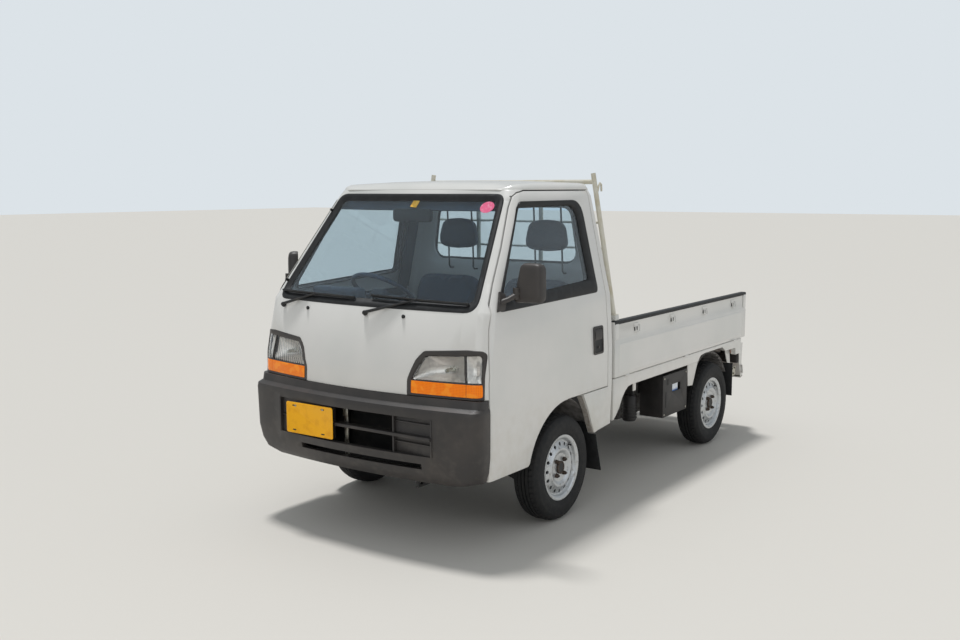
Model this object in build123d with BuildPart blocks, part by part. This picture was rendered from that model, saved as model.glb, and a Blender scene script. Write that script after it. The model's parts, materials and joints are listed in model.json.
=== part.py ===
from build123d import *
import os
from math import cos, radians, sin, sqrt

# A mid-engined, right-hand-drive kei truck with a hollow two-seat cab and a drop-side bed.
# Millimetres. The front faces -Y, +X is the vehicle's left and +Z is up.
# The truck is drawn about the middle of its length with the tailgate shut. Each part is saved
# about the middle with the tailgate hanging, on the ground and on the centreline.

os.makedirs("parts", exist_ok=True)

# Driving dimensions of the whole truck
LENGTH = 3295
WHEELBASE = 1900
FRONT_OVERHANG = 850
FRONT_AXLE_Y = FRONT_OVERHANG - LENGTH / 2
REAR_AXLE_Y = FRONT_AXLE_Y + WHEELBASE
FRONT_Y = -LENGTH / 2
REAR_Y = LENGTH / 2
MIDDLE_Y = 45

# Wheels: a narrow light-truck tyre on a twelve-inch steel wheel
TYRE_R = 268
TYRE_HALF_WIDTH = 72.5
RIM_R = 148
TRACK_HALF = 602.5
AXLE_Z = TYRE_R
WHEEL_HOLES = 16
WHEEL_HOLE_R = 9
WHEEL_HOLE_PCR = 120
SPINDLE_R = 17
SPINDLE_BORE_R = 17.3

# Steering: the leaning axis runs from a low ball joint to the strut's top
BALL_JOINT_X = 520
BALL_JOINT_Z = 160
STRUT_TOP_X = 440
STRUT_TOP_Z = 606
STRUT_R = 22

# Cab shell
SIDE_T = 40
FRONT_T = 30
REAR_T = 25
FRONT_PANEL_BOTTOM_Z = 731
CAB_TOP_Z = 1650
ROOF_TOP_Z = 1698
ROOF_JOIN_Z = 1600
REAR_CORNER_R = 30
CORNER_BULGE = 0.155
GLASS_INSET = 8
GLASS_T = 5
LAMP_BOTTOM_Z = 731

# Doors: the seams as they run on the side, and the gap beside them
DOOR_FRONT_Y = -1471
DOOR_REAR_Y = -386
DOOR_BOTTOM_Z = 355
DOOR_SILL_Z = 622
DOOR_GAP = 6
DOOR_TOP_Z = CAB_TOP_Z - DOOR_GAP
ARCH_R = 352

# Cab floor
FLOOR_Z = 400
FLOOR_T = 15
FLOOR_HALF = 640
TOEBOARD_Y = -1500
RISER_Y = -1140
PLATFORM_Z = 620
PLATFORM_REAR_Y = -330
SEAT_X = 296

# Bed
BED_FRONT_Y = -305
BED_WALL_Y = -275
BED_FLOOR_TOP_Z = 650
BED_FLOOR_T = 10
BED_HALF_INNER = 655
GATE_TOP_Z = 950
GATE_BOTTOM_Z = 650
GATE_INNER_X = 660
GATE_OUTER_X = 697
GATE_REAR_Y = 1588
TAILGATE_FRONT_Y = 1597
TAILGATE_T = 42
RAIL_TOP_Z = 644
RAIL_BOTTOM_Z = 582
RAIL_OUTER_X = 690
RAIL_REAR_Y = 1542
GUARD_Y = -272
GUARD_TOP_Z = 1735

# Chassis rails
RAIL_X_IN = 285
RAIL_X_OUT = 345
FRAME_LOW_Z = 300
FRAME_HIGH_Z = 430
FRAME_H = 85


def save(block, label):
    part = block.part.moved(Location((0, -MIDDLE_Y, 0)))
    part.label = label
    export_step(part, f"parts/{label}.step")


# Cab sections, from the bottom up. Columns: height, half width, y of the front at the centre,
# x and y where the front corner begins, y where it meets the side, y of the rear wall
CAB_SECTIONS = (
    (340, 688, -1590, 628, -1527, -1440, -316),
    (640, 697, -1609, 636, -1533, -1440, -316),
    (835, 696.5, -1600, 634, -1526, -1438, -316),
    (945, 691, -1574, 626, -1505, -1430, -316),
    (1106, 679, -1527, 618, -1470, -1405, -316),
    (1200, 657, -1450, 596.5, -1401, -1338, -318),
    (1618, 566, -1105, 501, -1096, -1040, -332),
    (CAB_TOP_Z, 553, -1080, 486, -1070, -1020, -345),
)


def bulged(start, end, bulge):
    """The middle point of a corner arc that swells to the right of its start-to-end chord."""
    dx = end[0] - start[0]
    dy = end[1] - start[1]
    middle_x = (start[0] + end[0]) / 2 + dy * bulge
    middle_y = (start[1] + end[1]) / 2 - dx * bulge
    return (middle_x, middle_y)


def cab_section(row, front_in, side_in, rear_in):
    """One level section of the cab, moved inwards by the three wall depths."""
    z, half, front_y, corner_x, corner_y, side_y, rear_y = row
    half = half - side_in
    front_y = front_y + front_in
    corner_x = corner_x - side_in * 0.3
    corner_y = corner_y + front_in * 1.07
    rear_y = rear_y - rear_in
    radius = REAR_CORNER_R
    corner = (corner_x, corner_y)
    side = (half, side_y)
    swell = bulged(corner, side, CORNER_BULGE)
    round_mid = radius * (1 - sqrt(0.5))
    with BuildSketch(Plane.XY.offset(z)) as level:
        with BuildLine():
            ThreePointArc((-corner_x, corner_y), (0, front_y), corner)
            ThreePointArc(corner, swell, side)
            Line(side, (half, rear_y - radius))
            ThreePointArc(
                (half, rear_y - radius),
                (half - round_mid, rear_y - round_mid),
                (half - radius, rear_y),
            )
            Line((half - radius, rear_y), (radius - half, rear_y))
            ThreePointArc(
                (radius - half, rear_y),
                (round_mid - half, rear_y - round_mid),
                (-half, rear_y - radius),
            )
            Line((-half, rear_y - radius), (-half, side_y))
            ThreePointArc((-half, side_y), (-swell[0], swell[1]), (-corner_x, corner_y))
        make_face()
    return level.sketch.face()


def cab_loft(front_in, side_in, rear_in):
    """The cab's closed outline as one solid, moved inwards by the three wall depths."""
    with BuildPart() as body:
        loft(
            sections=[cab_section(row, front_in, side_in, rear_in) for row in CAB_SECTIONS],
            ruled=True,
        )
    return body.part


cab_outer = cab_loft(0, 0, 0)
cab_inner = cab_loft(FRONT_T, SIDE_T, REAR_T)
rear_core = cab_loft(FRONT_T, SIDE_T, -REAR_T)
cabin_space = cab_loft(FRONT_T, SIDE_T + DOOR_GAP, REAR_T)
glass_outer = cab_loft(GLASS_INSET, GLASS_INSET, GLASS_INSET)
glass_inner = cab_loft(GLASS_INSET + GLASS_T, GLASS_INSET + GLASS_T, GLASS_INSET + GLASS_T)

with BuildPart() as cab_shell:
    add(cab_outer)
    add(cab_inner, mode=Mode.SUBTRACT)

with BuildPart() as glass_shell:
    add(glass_outer)
    add(glass_inner, mode=Mode.SUBTRACT)

# Side outlines, as (y, z) corners
DOOR_OUTLINE = (
    (DOOR_FRONT_Y, DOOR_BOTTOM_Z),
    (DOOR_FRONT_Y, 797),
    (-1460, 951),
    (-1447, 1038),
    (-1415, 1146),
    (-1354, 1234),
    (-1241, 1386),
    (-1113, 1569),
    (-1077, 1613),
    (-1043, 1634),
    (-990, DOOR_TOP_Z),
    (DOOR_REAR_Y, DOOR_TOP_Z),
    (DOOR_REAR_Y, DOOR_SILL_Z),
    (FRONT_AXLE_Y, DOOR_SILL_Z),
    (FRONT_AXLE_Y - ARCH_R, DOOR_BOTTOM_Z),
)
REAR_QUARTER = (
    (-430, CAB_TOP_Z),
    (-290, CAB_TOP_Z),
    (-290, 425),
    (-316, 413),
    (-466, 400),
    (-509, 392),
    (-547, 458),
    (-581, 527),
    (-634, 608),
    (-640, DOOR_SILL_Z),
    (-430, DOOR_SILL_Z),
)
# Front-view edge of the door's wall beside the windscreen pillar, as (x, z) corners
PILLAR_EDGE = (
    (600, 300),
    (620, 1000),
    (650, 1080),
    (650, 1146),
    (628, 1234),
    (597, 1386),
    (552, 1569),
    (546, 1613),
    (520, 1632),
    (500, 1660),
)
DOOR_WINDOW = ((-1352, 1144), (-1078, 1577), (-515, 1580), (-508, 1183))
DOOR_WINDOW_R = 30

# Front-view outlines, as (x, z) corners
WINDSCREEN = ((-600, 1124), (600, 1124), (502, 1618), (-502, 1618))
WINDSCREEN_R = 45
REAR_WINDOW = ((-486, 1252), (486, 1252), (440, 1564), (-440, 1564))
REAR_WINDOW_R = 70
LAMP_OUTLINE = (
    (314, LAMP_BOTTOM_Z),
    (678, LAMP_BOTTOM_Z),
    (678, 925),
    (662, 945),
    (594, 948),
    (392, 932),
    (362, 910),
    (334, 858),
    (312, 790),
)

with BuildPart() as windscreen_cut:
    with BuildSketch(Plane.XZ.offset(1000)) as outline:
        with BuildLine():
            Polyline(*WINDSCREEN, close=True)
        make_face()
        fillet(outline.vertices(), WINDSCREEN_R)
    extrude(amount=700)

with BuildPart() as rear_window_cut:
    with BuildSketch(Plane.XZ.offset(250)) as outline:
        with BuildLine():
            Polyline(*REAR_WINDOW, close=True)
        make_face()
        fillet(outline.vertices(), REAR_WINDOW_R)
    extrude(amount=300)

with BuildPart() as lamp_cut:
    with BuildSketch(Plane.XZ.offset(1440)):
        with BuildLine():
            Polyline(*LAMP_OUTLINE, close=True)
        make_face()
    extrude(amount=260)
    mirror(about=Plane.YZ)

with BuildPart() as door_window_cut:
    with BuildSketch(Plane.YZ.offset(450)) as outline:
        with BuildLine():
            Polyline(*DOOR_WINDOW, close=True)
        make_face()
        fillet(outline.vertices(), DOOR_WINDOW_R)
    extrude(amount=300)


def door_block(gap):
    """The space that a left door takes up, grown by the gap beside it."""
    with BuildPart() as block:
        with BuildSketch(Plane.YZ.offset(300)):
            with BuildLine():
                Polyline(*DOOR_OUTLINE, close=True)
            make_face()
            if gap:
                offset(amount=gap, kind=Kind.INTERSECTION)
        extrude(amount=500)
        with BuildSketch(Plane.XZ.offset(200)):
            with BuildLine():
                Polyline(*[(x - gap, z) for x, z in PILLAR_EDGE], (900, 1660), (900, 300), close=True)
            make_face()
        extrude(amount=1400, mode=Mode.INTERSECT)
    return block.part


door_body = door_block(0)
door_space = door_block(DOOR_GAP)

# Cab panels
with BuildPart() as cab_front_panel:
    add(cab_shell.part)
    with Locations((0, -1400, (FRONT_PANEL_BOTTOM_Z + ROOF_JOIN_Z) / 2)):
        Box(1600, 800, ROOF_JOIN_Z - FRONT_PANEL_BOTTOM_Z, mode=Mode.INTERSECT)
    add(door_space, mode=Mode.SUBTRACT)
    add(mirror(door_space, about=Plane.YZ, mode=Mode.PRIVATE), mode=Mode.SUBTRACT)
    add(windscreen_cut.part, mode=Mode.SUBTRACT)
    add(door_window_cut.part, mode=Mode.SUBTRACT)
    add(mirror(door_window_cut.part, about=Plane.YZ, mode=Mode.PRIVATE), mode=Mode.SUBTRACT)
    add(lamp_cut.part, mode=Mode.SUBTRACT)
save(cab_front_panel, "cab_front_panel")

with BuildPart() as front_lamps:
    add(cab_shell.part)
    add(lamp_cut.part, mode=Mode.INTERSECT)
    add(door_space, mode=Mode.SUBTRACT)
    add(mirror(door_space, about=Plane.YZ, mode=Mode.PRIVATE), mode=Mode.SUBTRACT)
save(front_lamps, "front_lamps")

with BuildPart() as windscreen:
    add(glass_shell.part)
    add(windscreen_cut.part, mode=Mode.INTERSECT)
save(windscreen, "windscreen")

with BuildPart() as rear_window:
    add(glass_shell.part)
    add(rear_window_cut.part, mode=Mode.INTERSECT)
save(rear_window, "rear_window")

with BuildPart() as cab_rear_wall:
    add(cab_outer)
    add(rear_core, mode=Mode.INTERSECT)
    add(cab_inner, mode=Mode.SUBTRACT)
    with Locations((0, -280, (PLATFORM_Z + CAB_TOP_Z) / 2)):
        Box(1500, 200, CAB_TOP_Z - PLATFORM_Z, mode=Mode.INTERSECT)
    add(rear_window_cut.part, mode=Mode.SUBTRACT)
save(cab_rear_wall, "cab_rear_wall")

with BuildPart() as cab_side_left:
    add(cab_shell.part)
    with BuildSketch(Plane.YZ.offset(300)):
        with BuildLine():
            Polyline(*REAR_QUARTER, close=True)
        make_face()
    extrude(amount=500, mode=Mode.INTERSECT)
    add(rear_core, mode=Mode.SUBTRACT)
    add(door_space, mode=Mode.SUBTRACT)
save(cab_side_left, "cab_side_left")

with BuildPart() as cab_side_right:
    mirror(cab_side_left.part, about=Plane.YZ)
save(cab_side_right, "cab_side_right")

# Doors
with BuildPart() as door_left:
    add(cab_shell.part)
    add(door_body, mode=Mode.INTERSECT)
    with BuildSketch(Plane.YZ.offset(300)):
        with Locations((FRONT_AXLE_Y, AXLE_Z)):
            Circle(ARCH_R)
        with Locations((DOOR_REAR_Y, AXLE_Z)):
            Rectangle(2 * (DOOR_REAR_Y - FRONT_AXLE_Y), 2 * (DOOR_SILL_Z - AXLE_Z))
    extrude(amount=500, mode=Mode.SUBTRACT)
    add(door_window_cut.part, mode=Mode.SUBTRACT)
save(door_left, "door_left")

with BuildPart() as door_right:
    mirror(door_left.part, about=Plane.YZ)
save(door_right, "door_right")

with BuildPart() as door_glass_left:
    add(glass_shell.part)
    add(door_window_cut.part, mode=Mode.INTERSECT)
save(door_glass_left, "door_glass_left")

with BuildPart() as door_glass_right:
    mirror(door_glass_left.part, about=Plane.YZ)
save(door_glass_right, "door_glass_right")

# Roof: the header over the windscreen, and cross-sections from front to rear.
# Columns: y, half width, depth of the round shoulder, heights of the shoulder and the crown
ROOF_SECTIONS = (
    (-1078, 474, 34, 1651.5, 1652.5),
    (-1062, 512, 34, 1660, 1668),
    (-1040, 540, 34, 1669, 1681),
    (-1000, 553, 34, 1677, 1690),
    (-900, 553, 34, 1682, 1695),
    (-700, 553, 32, 1684, ROOF_TOP_Z),
    (-420, 553, 30, 1684, ROOF_TOP_Z),
    (-375, 553, 30, 1681, 1694),
    (-345, 545, 34, 1664, 1672),
)
ARC_SHARE = sqrt(0.5)


def roof_section(row):
    y, half, inset, shoulder_z, crown_z = row
    low = (half, CAB_TOP_Z)
    high = (half - inset, shoulder_z)
    middle = (high[0] + inset * ARC_SHARE, CAB_TOP_Z + (shoulder_z - CAB_TOP_Z) * ARC_SHARE)
    with BuildSketch(Plane.XZ.offset(-y)) as slice_:
        with BuildLine():
            Line((-low[0], low[1]), low)
            ThreePointArc(low, middle, high)
            ThreePointArc(high, (0, crown_z), (-high[0], high[1]))
            ThreePointArc((-high[0], high[1]), (-middle[0], middle[1]), (-low[0], low[1]))
        make_face()
    return slice_.sketch.face()


with BuildPart() as roof_header:
    add(cab_shell.part)
    with Locations((0, -1200, (ROOF_JOIN_Z + CAB_TOP_Z) / 2)):
        Box(1300, 500, CAB_TOP_Z - ROOF_JOIN_Z, mode=Mode.INTERSECT)
    add(door_space, mode=Mode.SUBTRACT)
    add(mirror(door_space, about=Plane.YZ, mode=Mode.PRIVATE), mode=Mode.SUBTRACT)
    add(windscreen_cut.part, mode=Mode.SUBTRACT)

with BuildPart() as cab_roof:
    loft(sections=[roof_section(row) for row in ROOF_SECTIONS], ruled=True)
    add(roof_header.part)
save(cab_roof, "cab_roof")

# Cab floor: footwell, toe board, riser and the seat platform, inside the shell
with BuildPart() as cab_floor:
    with BuildSketch(Plane.YZ.offset(-FLOOR_HALF)):
        with BuildLine():
            Polyline(
                (TOEBOARD_Y - 100, FRONT_PANEL_BOTTOM_Z),
                (TOEBOARD_Y - 100, FRONT_PANEL_BOTTOM_Z + FLOOR_T),
                (TOEBOARD_Y + FLOOR_T, FRONT_PANEL_BOTTOM_Z + FLOOR_T),
                (TOEBOARD_Y + FLOOR_T, FLOOR_Z + FLOOR_T),
                (RISER_Y, FLOOR_Z + FLOOR_T),
                (RISER_Y, PLATFORM_Z + FLOOR_T),
                (PLATFORM_REAR_Y, PLATFORM_Z + FLOOR_T),
                (PLATFORM_REAR_Y, PLATFORM_Z),
                (RISER_Y + FLOOR_T, PLATFORM_Z),
                (RISER_Y + FLOOR_T, FLOOR_Z),
                (TOEBOARD_Y, FLOOR_Z),
                (TOEBOARD_Y, FRONT_PANEL_BOTTOM_Z),
                close=True,
            )
        make_face()
    extrude(amount=2 * FLOOR_HALF)
    add(cabin_space, mode=Mode.INTERSECT)
save(cab_floor, "cab_floor")

# Front bumper sections. Columns: height, half width, front y, corner x and y, side y
BUMPER_SECTIONS = (
    (330, 600, -1584, 520, -1548, -1496),
    (354, 674, -1604, 600, -1556, -1500),
    (400, 690, -1626, 636, -1568, -1510),
    (470, 697, -1642, 650, -1579, -1522),
    (664, 698, FRONT_Y, 655, -1584, -1527),
    (682, 697, -1645, 652, -1581, -1524),
    (694, 690, -1616, 640, -1551, -1508),
    (729, 688, -1611, 636, -1546, -1502),
)
BUMPER_T = 30
BUMPER_REAR_Y = DOOR_FRONT_Y - DOOR_GAP


def bumper_section(row, inset):
    z, half, front_y, corner_x, corner_y, side_y = row
    corner = (corner_x - inset * 0.4, corner_y + inset * 0.92)
    side = (half - inset, side_y)
    swell = bulged(corner, side, CORNER_BULGE)
    rear_y = BUMPER_REAR_Y + inset
    with BuildSketch(Plane.XY.offset(z)) as level:
        with BuildLine():
            ThreePointArc((-corner[0], corner[1]), (0, front_y + inset), corner)
            ThreePointArc(corner, swell, side)
            Line(side, (side[0], rear_y))
            Line((side[0], rear_y), (-side[0], rear_y))
            Line((-side[0], rear_y), (-side[0], side_y))
            ThreePointArc((-side[0], side_y), (-swell[0], swell[1]), (-corner[0], corner[1]))
        make_face()
    return level.sketch.face()


# Grille opening: one wide recess, open in the middle, shut behind the plate and at the left
GRILLE_HALF = 475
GRILLE_LOW_Z = 465
GRILLE_HIGH_Z = 638
GRILLE_BACK_Y = -1590
GRILLE_OPEN_X = (-130, 250)
GRILLE_BAR_Z = 550
SLOT_X = (-330, 408)
SLOT_Z = 414
SLOT_H = 26

with BuildPart() as front_bumper:
    loft(sections=[bumper_section(row, 0) for row in BUMPER_SECTIONS], ruled=True)
    loft(
        sections=[bumper_section(row, BUMPER_T) for row in BUMPER_SECTIONS],
        ruled=True,
        mode=Mode.SUBTRACT,
    )
    with Locations((0, FRONT_Y, (GRILLE_LOW_Z + GRILLE_HIGH_Z) / 2)):
        Box(2 * GRILLE_HALF, 200, GRILLE_HIGH_Z - GRILLE_LOW_Z, mode=Mode.SUBTRACT)
    with Locations(((SLOT_X[0] + SLOT_X[1]) / 2, FRONT_Y, SLOT_Z)):
        Box(SLOT_X[1] - SLOT_X[0], 200, SLOT_H, mode=Mode.SUBTRACT)
    for low_x, high_x in ((-GRILLE_HALF, GRILLE_OPEN_X[0]), (GRILLE_OPEN_X[1], GRILLE_HALF)):
        with Locations(((low_x + high_x) / 2, GRILLE_BACK_Y, (GRILLE_LOW_Z + GRILLE_HIGH_Z) / 2)):
            Box(high_x - low_x, 14, GRILLE_HIGH_Z - GRILLE_LOW_Z)
    for bar_x in (-GRILLE_HALF + 4, GRILLE_OPEN_X[0] - 4, GRILLE_OPEN_X[1] + 4, GRILLE_HALF - 4):
        with Locations((bar_x, GRILLE_BACK_Y - 12, (GRILLE_LOW_Z + GRILLE_HIGH_Z) / 2)):
            Box(8, 30, GRILLE_HIGH_Z - GRILLE_LOW_Z)
    with Locations((190, GRILLE_BACK_Y - 19, GRILLE_BAR_Z)):
        Box(2 * (GRILLE_HALF - 190), 44, 14)
save(front_bumper, "front_bumper")

# Number plates: the front one hangs in the grille recess, the rear one under the bed
PLATE_W = 305
PLATE_H = 152
PLATE_T = 2
PLATE_X = -247
PLATE_Z = 553
PLATE_R = 8

with BuildPart() as front_plate:
    with BuildSketch(Plane.XZ.offset(1642)):
        with Locations((PLATE_X, PLATE_Z)):
            RectangleRounded(PLATE_W, PLATE_H, PLATE_R)
    extrude(amount=PLATE_T)
    with Locations((PLATE_X - 90, -1620, PLATE_Z), (PLATE_X + 90, -1620, PLATE_Z)):
        Box(30, 46, 20)
save(front_plate, "front_plate")

# Dashboard: one hollow moulding below the windscreen
DASH_PROFILE = (
    (-1512, 1095),
    (-1330, 1118),
    (-1288, 1090),
    (-1276, 960),
    (-1330, 860),
    (-1400, 860),
    (-1350, 970),
    (-1360, 1062),
    (-1512, 1062),
)

with BuildPart() as dashboard:
    with BuildSketch(Plane.YZ.offset(-615)):
        with BuildLine():
            Polyline(*DASH_PROFILE, close=True)
        make_face()
    extrude(amount=1230)
    add(cabin_space, mode=Mode.INTERSECT)
save(dashboard, "dashboard")

# Seats: a cushion and a leaning back for each side, all on the platform
SEAT_W = 460
CUSHION_Y = (-1090, -560)
CUSHION_Z = (PLATFORM_Z + FLOOR_T, 765)
BACK_PROFILE = ((-600, 766), (-480, 766), (-380, 1190), (-450, 1190))

with BuildPart() as seats:
    for side in (-1, 1):
        with Locations(
            (side * SEAT_X, sum(CUSHION_Y) / 2, sum(CUSHION_Z) / 2),
        ):
            Box(SEAT_W, CUSHION_Y[1] - CUSHION_Y[0], CUSHION_Z[1] - CUSHION_Z[0])
    for side in (-1, 1):
        with BuildSketch(Plane.YZ.offset(side * SEAT_X - SEAT_W / 2)):
            with BuildLine():
                Polyline(*BACK_PROFILE, close=True)
            make_face()
        extrude(amount=SEAT_W)
save(seats, "seats")

# Headrests: pads on pairs of thin rods that run down the rear wall from the roof
HEADREST_Y = -384
HEADREST_Z = 1404
HEADREST_W = 252
HEADREST_H = 172
HEADREST_T = 56
ROD_X = 86
ROD_R = 5
ROD_Z = (1200, 1636)

with BuildPart() as headrests:
    for side in (-1, 1):
        with Locations((side * SEAT_X, HEADREST_Y, HEADREST_Z)):
            Box(HEADREST_W, HEADREST_T, HEADREST_H)
    fillet(headrests.edges().filter_by(Axis.Y), 52)
    for rod_x in (-SEAT_X - ROD_X, -SEAT_X + ROD_X, SEAT_X - ROD_X, SEAT_X + ROD_X):
        with Locations((rod_x, HEADREST_Y, (ROD_Z[0] + ROD_Z[1]) / 2)):
            Cylinder(ROD_R, ROD_Z[1] - ROD_Z[0])
        for foot_z, wall_y in ((ROD_Z[0] + ROD_R, -345), (ROD_Z[1] - ROD_R, -366)):
            with Locations((rod_x, (HEADREST_Y + wall_y) / 2, foot_z)):
                Box(2 * ROD_R, wall_y - HEADREST_Y, 2 * ROD_R)
save(headrests, "headrests")

# Steering column: from the toe board up to just below the wheel
WHEEL_CENTRE = Vector(-340, -973, 1113)
COLUMN_TILT = 35
COLUMN_DIR = Vector(0, sin(radians(COLUMN_TILT)), cos(radians(COLUMN_TILT)))
COLUMN_LENGTH = 838
COLUMN_R = 20
STEER_WHEEL_R = 185
STEER_RIM_R = 13

with BuildPart() as steering_column:
    with BuildSketch(Plane(origin=WHEEL_CENTRE - COLUMN_DIR * COLUMN_LENGTH, z_dir=COLUMN_DIR)):
        Circle(COLUMN_R)
    extrude(amount=COLUMN_LENGTH - 60)
    with BuildSketch(Plane(origin=WHEEL_CENTRE - COLUMN_DIR * 260, z_dir=COLUMN_DIR)):
        Circle(45)
    extrude(amount=190)
    with Locations((WHEEL_CENTRE.X, -1200, 925)):
        Box(90, 200, 30)
    add(dashboard.part, mode=Mode.SUBTRACT)
save(steering_column, "steering_column")

with BuildPart() as steering_wheel:
    rim_plane = Plane(origin=WHEEL_CENTRE, x_dir=(1, 0, 0), z_dir=COLUMN_DIR)
    with BuildSketch(Plane(origin=WHEEL_CENTRE, x_dir=COLUMN_DIR, z_dir=(1, 0, 0))):
        with Locations((0, STEER_WHEEL_R - STEER_RIM_R)):
            Circle(STEER_RIM_R)
    revolve(axis=Axis(WHEEL_CENTRE, COLUMN_DIR))
    with BuildSketch(rim_plane.offset(-45)):
        Circle(48)
    extrude(amount=55)
    with BuildSketch(rim_plane.offset(-10)):
        Rectangle(2 * (STEER_WHEEL_R - STEER_RIM_R), 34)
        with Locations((0, -STEER_WHEEL_R / 2)):
            Rectangle(60, STEER_WHEEL_R - STEER_RIM_R)
    extrude(amount=12)
save(steering_wheel, "steering_wheel")

# Frame: two rails that rise behind the front wheels, and the cross pieces between them
RAIL_FRONT_Y = -1440
FRAME_PROFILE = (
    (RAIL_FRONT_Y, FRAME_LOW_Z),
    (-1100, FRAME_LOW_Z),
    (-960, FRAME_HIGH_Z),
    (1500, FRAME_HIGH_Z),
    (1500, FRAME_HIGH_Z + FRAME_H),
    (-1000, FRAME_HIGH_Z + FRAME_H),
    (-1140, FRAME_LOW_Z + FRAME_H),
    (RAIL_FRONT_Y, FRAME_LOW_Z + FRAME_H),
)
FRAME_CROSS = (
    (RAIL_FRONT_Y + 40, FRAME_LOW_Z),
    (-560, FRAME_HIGH_Z),
    (480, FRAME_HIGH_Z),
    (1300, FRAME_HIGH_Z),
)
TOW_EYE_R = 16
TOW_EYE_Y = -1494
TOW_EYE_Z = 308
# Cab mounts on the rails. Columns: y, top of the rail, underside of the cab floor
CAB_MOUNTS = (
    (-1380, FRAME_LOW_Z + FRAME_H, FLOOR_Z),
    (-1180, FRAME_LOW_Z + FRAME_H, FLOOR_Z),
    (-420, FRAME_HIGH_Z + FRAME_H, PLATFORM_Z),
)

with BuildPart() as frame:
    for rail_x in (-RAIL_X_OUT, RAIL_X_IN):
        with BuildSketch(Plane.YZ.offset(rail_x)):
            with BuildLine():
                Polyline(*FRAME_PROFILE, close=True)
            make_face()
        extrude(amount=RAIL_X_OUT - RAIL_X_IN)
    for cross_y, cross_z in FRAME_CROSS:
        with Locations((0, cross_y, cross_z + FRAME_H / 2)):
            Box(2 * RAIL_X_IN, 60, FRAME_H - 20)
    for mount_y, low_z, high_z in CAB_MOUNTS:
        for mount_x in (-315, 315):
            with Locations((mount_x, mount_y, (low_z + high_z) / 2)):
                Box(40, 40, high_z - low_z)
    with Locations((RAIL_X_IN + 30, TOW_EYE_Y + 29, TOW_EYE_Z + 4)):
        Box(16, 110, 60)
    with BuildSketch(Plane.YZ.offset(RAIL_X_IN)):
        with Locations((TOW_EYE_Y, TOW_EYE_Z)):
            Circle(TOW_EYE_R)
    extrude(amount=60, mode=Mode.SUBTRACT)
save(frame, "frame")

# Front suspension: a cross member with two lower arms
ARM_Z = 135

with BuildPart() as front_suspension:
    with Locations((0, FRONT_AXLE_Y, 250)):
        Box(2 * RAIL_X_OUT, 90, 60)
    with Locations(
        (-RAIL_X_OUT + 30, FRONT_AXLE_Y, 330),
        (RAIL_X_OUT - 30, FRONT_AXLE_Y, 330),
    ):
        Box(40, 90, 110)
    for side in (-1, 1):
        with BuildSketch(Plane.XZ.offset(-FRONT_AXLE_Y - 22)):
            with BuildLine():
                Polyline(
                    (side * 300, 222),
                    (side * 340, 222),
                    (side * 470, ARM_Z + 18),
                    (side * (BALL_JOINT_X + 20), ARM_Z + 18),
                    (side * (BALL_JOINT_X + 20), ARM_Z),
                    (side * 490, ARM_Z),
                    (side * 300, 200),
                    close=True,
                )
            make_face()
        extrude(amount=44)
save(front_suspension, "front_suspension")

# Knuckles: upright, stub axle, brake plate and strut, which turn with the steering
STEER_AXIS = Vector(STRUT_TOP_X - BALL_JOINT_X, 0, STRUT_TOP_Z - BALL_JOINT_Z).normalized()
STRUT_FOOT_Z = 350

with BuildPart() as knuckle_left:
    with Locations((502, FRONT_AXLE_Y, 286)):
        Box(38, 66, 244)
    with BuildSketch(Plane.YZ.offset(500)):
        with Locations((FRONT_AXLE_Y, AXLE_Z)):
            Circle(SPINDLE_R)
    extrude(amount=72)
    with BuildSketch(Plane.YZ.offset(519)):
        with Locations((FRONT_AXLE_Y, AXLE_Z)):
            Circle(98)
    extrude(amount=10)
    foot = Vector(BALL_JOINT_X, FRONT_AXLE_Y, BALL_JOINT_Z)
    foot = foot + STEER_AXIS * (STRUT_FOOT_Z - BALL_JOINT_Z) / STEER_AXIS.Z
    top = Vector(STRUT_TOP_X, FRONT_AXLE_Y, STRUT_TOP_Z)
    with BuildSketch(Plane(origin=foot, z_dir=STEER_AXIS)):
        Circle(STRUT_R)
    extrude(amount=(top - foot).length)
    with BuildSketch(Plane(origin=top - STEER_AXIS * 90, z_dir=STEER_AXIS)):
        Circle(52)
    extrude(amount=14)
save(knuckle_left, "knuckle_left")

with BuildPart() as knuckle_right:
    mirror(knuckle_left.part, about=Plane.YZ)
save(knuckle_right, "knuckle_right")

# Wheels. Tyre profile: radius and axial place, from the inner bead round to the outer one
TYRE_PROFILE = (
    (RIM_R, 56),
    (168, 56),
    (180, 66),
    (212, TYRE_HALF_WIDTH),
    (244, 67),
    (261, 57),
    (TYRE_R, 44),
)

def wheel_plane(x, y):
    """A half plane through the wheel's axis: sketch x is the radius, sketch y points outboard."""
    return Plane(origin=(x, y, AXLE_Z), x_dir=(0, 0, 1), z_dir=(0, 1, 0))


TYRE_LOOP = (
    [(r, a) for r, a in TYRE_PROFILE]
    + [(r, -a) for r, a in reversed(TYRE_PROFILE)]
)

WHEEL_DISC = (
    (166, 58),
    (166, 63),
    (161, 63),
    (150, 60),
    (145, 56),
    (143, 50),
    (139, 44),
    (134, 43),
    (128, 47),
    (112, 52),
    (104, 56),
    (98, 60),
    (90, 60),
    (82, 56),
    (72, 50),
    (31, 50),
    (31, 56),
    (0, 56),
    (0, 16),
    (96, 16),
    (96, 42),
    (112, 44),
    (128, 38),
    (140, 30),
    (140, -56),
    (161, -63),
    (166, -63),
    (166, -58),
    (RIM_R, -56),
    (RIM_R, 56),
)
DRUM_BACK = -62

with BuildPart() as tyre:
    with BuildSketch(wheel_plane(0, 0)):
        with BuildLine():
            Polyline(*TYRE_LOOP, close=True)
        make_face()
    revolve(axis=Axis((0, 0, AXLE_Z), (1, 0, 0)))

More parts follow.
